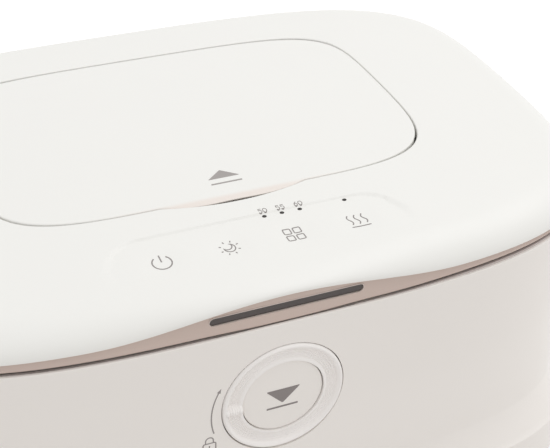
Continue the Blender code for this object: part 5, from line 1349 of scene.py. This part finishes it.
def build_dial_marks():
    """Triangle and bar on the button, and the turning arrow and padlock beside the ring."""
    mark = Marks(on_button)
    mark.patch(soft_corners([(-4.95, 64.65), (4.95, 64.65), (0.0, 59.65)], 0.55))
    mark.patch(soft_corners([(-4.55, 58.15), (4.55, 58.15), (4.55, 58.75), (-4.55, 58.75)], MARK_SHORT_ROUND))
    mark.made("button_mark", FINISH["dark ink"], "button")
    side = Marks(on_front)
    middle = (-1.57, 60.96)
    side.line(arc(middle, 18.95, 197, 153.5, 40), KEY_STROKE)
    tip = arc(middle, 18.95, 150.2, 150.2, 1)[0]
    tails = [arc(middle, reach, 154.6, 154.6, 1)[0] for reach in (18.4, 19.5)]
    side.patch([tip] + tails)
    case = soft_corners([(-22.75, 49.2), (-19.15, 49.2), (-19.15, 52.35), (-22.75, 52.35)], 0.5)
    side.line(case, MARK_STROKE, True)
    shackle = [(-22.05, 52.3)] + arc((-20.95, 53.2), 1.1, 180, 0, 16) + [(-19.85, 52.3)]
    side.line(shackle, MARK_STROKE)
    side.line([(-20.95, 51.5), (-20.95, 50.8), (-20.95, 50.1)], MARK_STROKE)
    side.made("lock_marks", FINISH["ink"], "base")


def dress_nodes():
    """Give the nodes that stay their procedural finish."""
    finish_of = {
        "base_plate": "inner", "dial_housing": "inner", "latch_bracket": "inner", "latch_lever": "inner",
        "lid_strike": "inner", "power_inlet": "black", "heater_plate": "aluminium", "insulation_pad": "felt",
        "thermostat": "black", "power_board": "board", "light_board": "board", "touch_board": "board",
        "indicator_light_guide": "clear",
    }
    for name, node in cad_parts.items():
        if node.hide_render:
            continue
        finish = FINISH[finish_of.get(name, "steel")]
        node.data.materials.clear()
        node.data.materials.append(finish)


def build_camera():
    """Camera at the photograph's angle."""
    back = Vector((
        math.sin(CAMERA_TURN) * math.cos(CAMERA_RISE), -math.cos(CAMERA_TURN) * math.cos(CAMERA_RISE),
        math.sin(CAMERA_RISE),
    ))
    right = Vector((math.cos(CAMERA_TURN), math.sin(CAMERA_TURN), 0))
    up = back.cross(right)
    across = math.cos(CAMERA_ROLL) * right + math.sin(CAMERA_ROLL) * up
    above = math.cos(CAMERA_ROLL) * up - math.sin(CAMERA_ROLL) * right
    camera = add_object("camera", bpy.data.cameras.new("camera"))
    turn = Matrix((across, above, back)).transposed().to_4x4()
    camera.matrix_world = Matrix.Translation(CAMERA_PLACE) @ turn
    camera.data.lens = CAMERA_LENS
    camera.data.sensor_width = CAMERA_SENSOR
    camera.data.clip_start = CAMERA_NEAR
    bpy.context.scene.camera = camera


def seen_share(nodes, links):
    """One for rays that see the background itself: camera, glossy and transmission rays."""
    path = nodes.new("ShaderNodeLightPath")
    total = path.outputs["Is Camera Ray"]
    for kind in ("Is Glossy Ray", "Is Transmission Ray"):
        add = nodes.new("ShaderNodeMath")
        add.operation = "MAXIMUM"
        links.new(total, add.inputs[0])
        links.new(path.outputs[kind], add.inputs[1])
        total = add.outputs[0]
    return total


def blend_seen(tree, kind, socket, lit, seen, output):
    """Show one value to rays that see the background itself, and let another light the object."""
    nodes = tree.nodes
    nodes.clear()
    mix = nodes.new("ShaderNodeMixShader")
    tree.links.new(seen_share(nodes, tree.links), mix.inputs[0])
    for position, value in ((1, lit), (2, seen)):
        node = nodes.new(kind)
        node.inputs[socket].default_value = value
        tree.links.new(node.outputs[0], mix.inputs[position])
    out = nodes.new(output)
    tree.links.new(mix.outputs[0], out.inputs["Surface"])


def build_world():
    """White surroundings that light the object at a plain level."""
    world = bpy.data.worlds.new("studio")
    bpy.context.scene.world = world
    world.use_nodes = True
    blend_seen(world.node_tree, "ShaderNodeBackground", "Strength", AMBIENT, 1.0, "ShaderNodeOutputWorld")
    for node in world.node_tree.nodes:
        if node.type == "BACKGROUND":
            node.inputs["Color"].default_value = (1, 1, 1, 1)


def build_floor():
    """Pale floor that looks white but keeps the object's shadow."""
    mesh = bpy.data.meshes.new("floor")
    corners = [(x * FLOOR_REACH, y * FLOOR_REACH, 0) for x, y in ((-1, -1), (1, -1), (1, 1), (-1, 1))]
    mesh.from_pydata(corners, [], [(0, 1, 2, 3)])
    floor = add_object("floor", mesh)
    made = bpy.data.materials.new("floor")
    made.use_nodes = True
    blend_seen(
        made.node_tree, "ShaderNodeBsdfDiffuse", "Color", FLOOR_COLOUR, FLOOR_SEEN, "ShaderNodeOutputMaterial"
    )
    mesh.materials.append(made)


def build_lamp():
    """Soft round lamp above the object's right."""
    lamp = bpy.data.lights.new("lamp", "AREA")
    lamp.shape = "DISK"
    lamp.size = LAMP_SIZE
    lamp.energy = LAMP_POWER
    holder = add_object("lamp", lamp)
    holder.location = LAMP_PLACE
    aim = Vector((0, 0, DIAL_Z)) - Vector(LAMP_PLACE)
    holder.rotation_euler = aim.to_track_quat("-Z", "Y").to_euler()


def main():
    """Dress the whole object and set the stage."""
    bpy.context.scene.view_settings.view_transform = "Standard"
    for build in (
        build_camera, build_world, build_floor, build_lamp,
        build_base_shell, build_rim_lip, build_feet, build_bin, build_lock_ring, build_button,
        build_window, build_lid_frame, build_knuckles, build_lid_cover, build_flap,
        build_tray, build_port, build_linings, build_lid_marks, build_flap_mark, build_dial_marks,
        dress_nodes,
    ):
        build()


main()
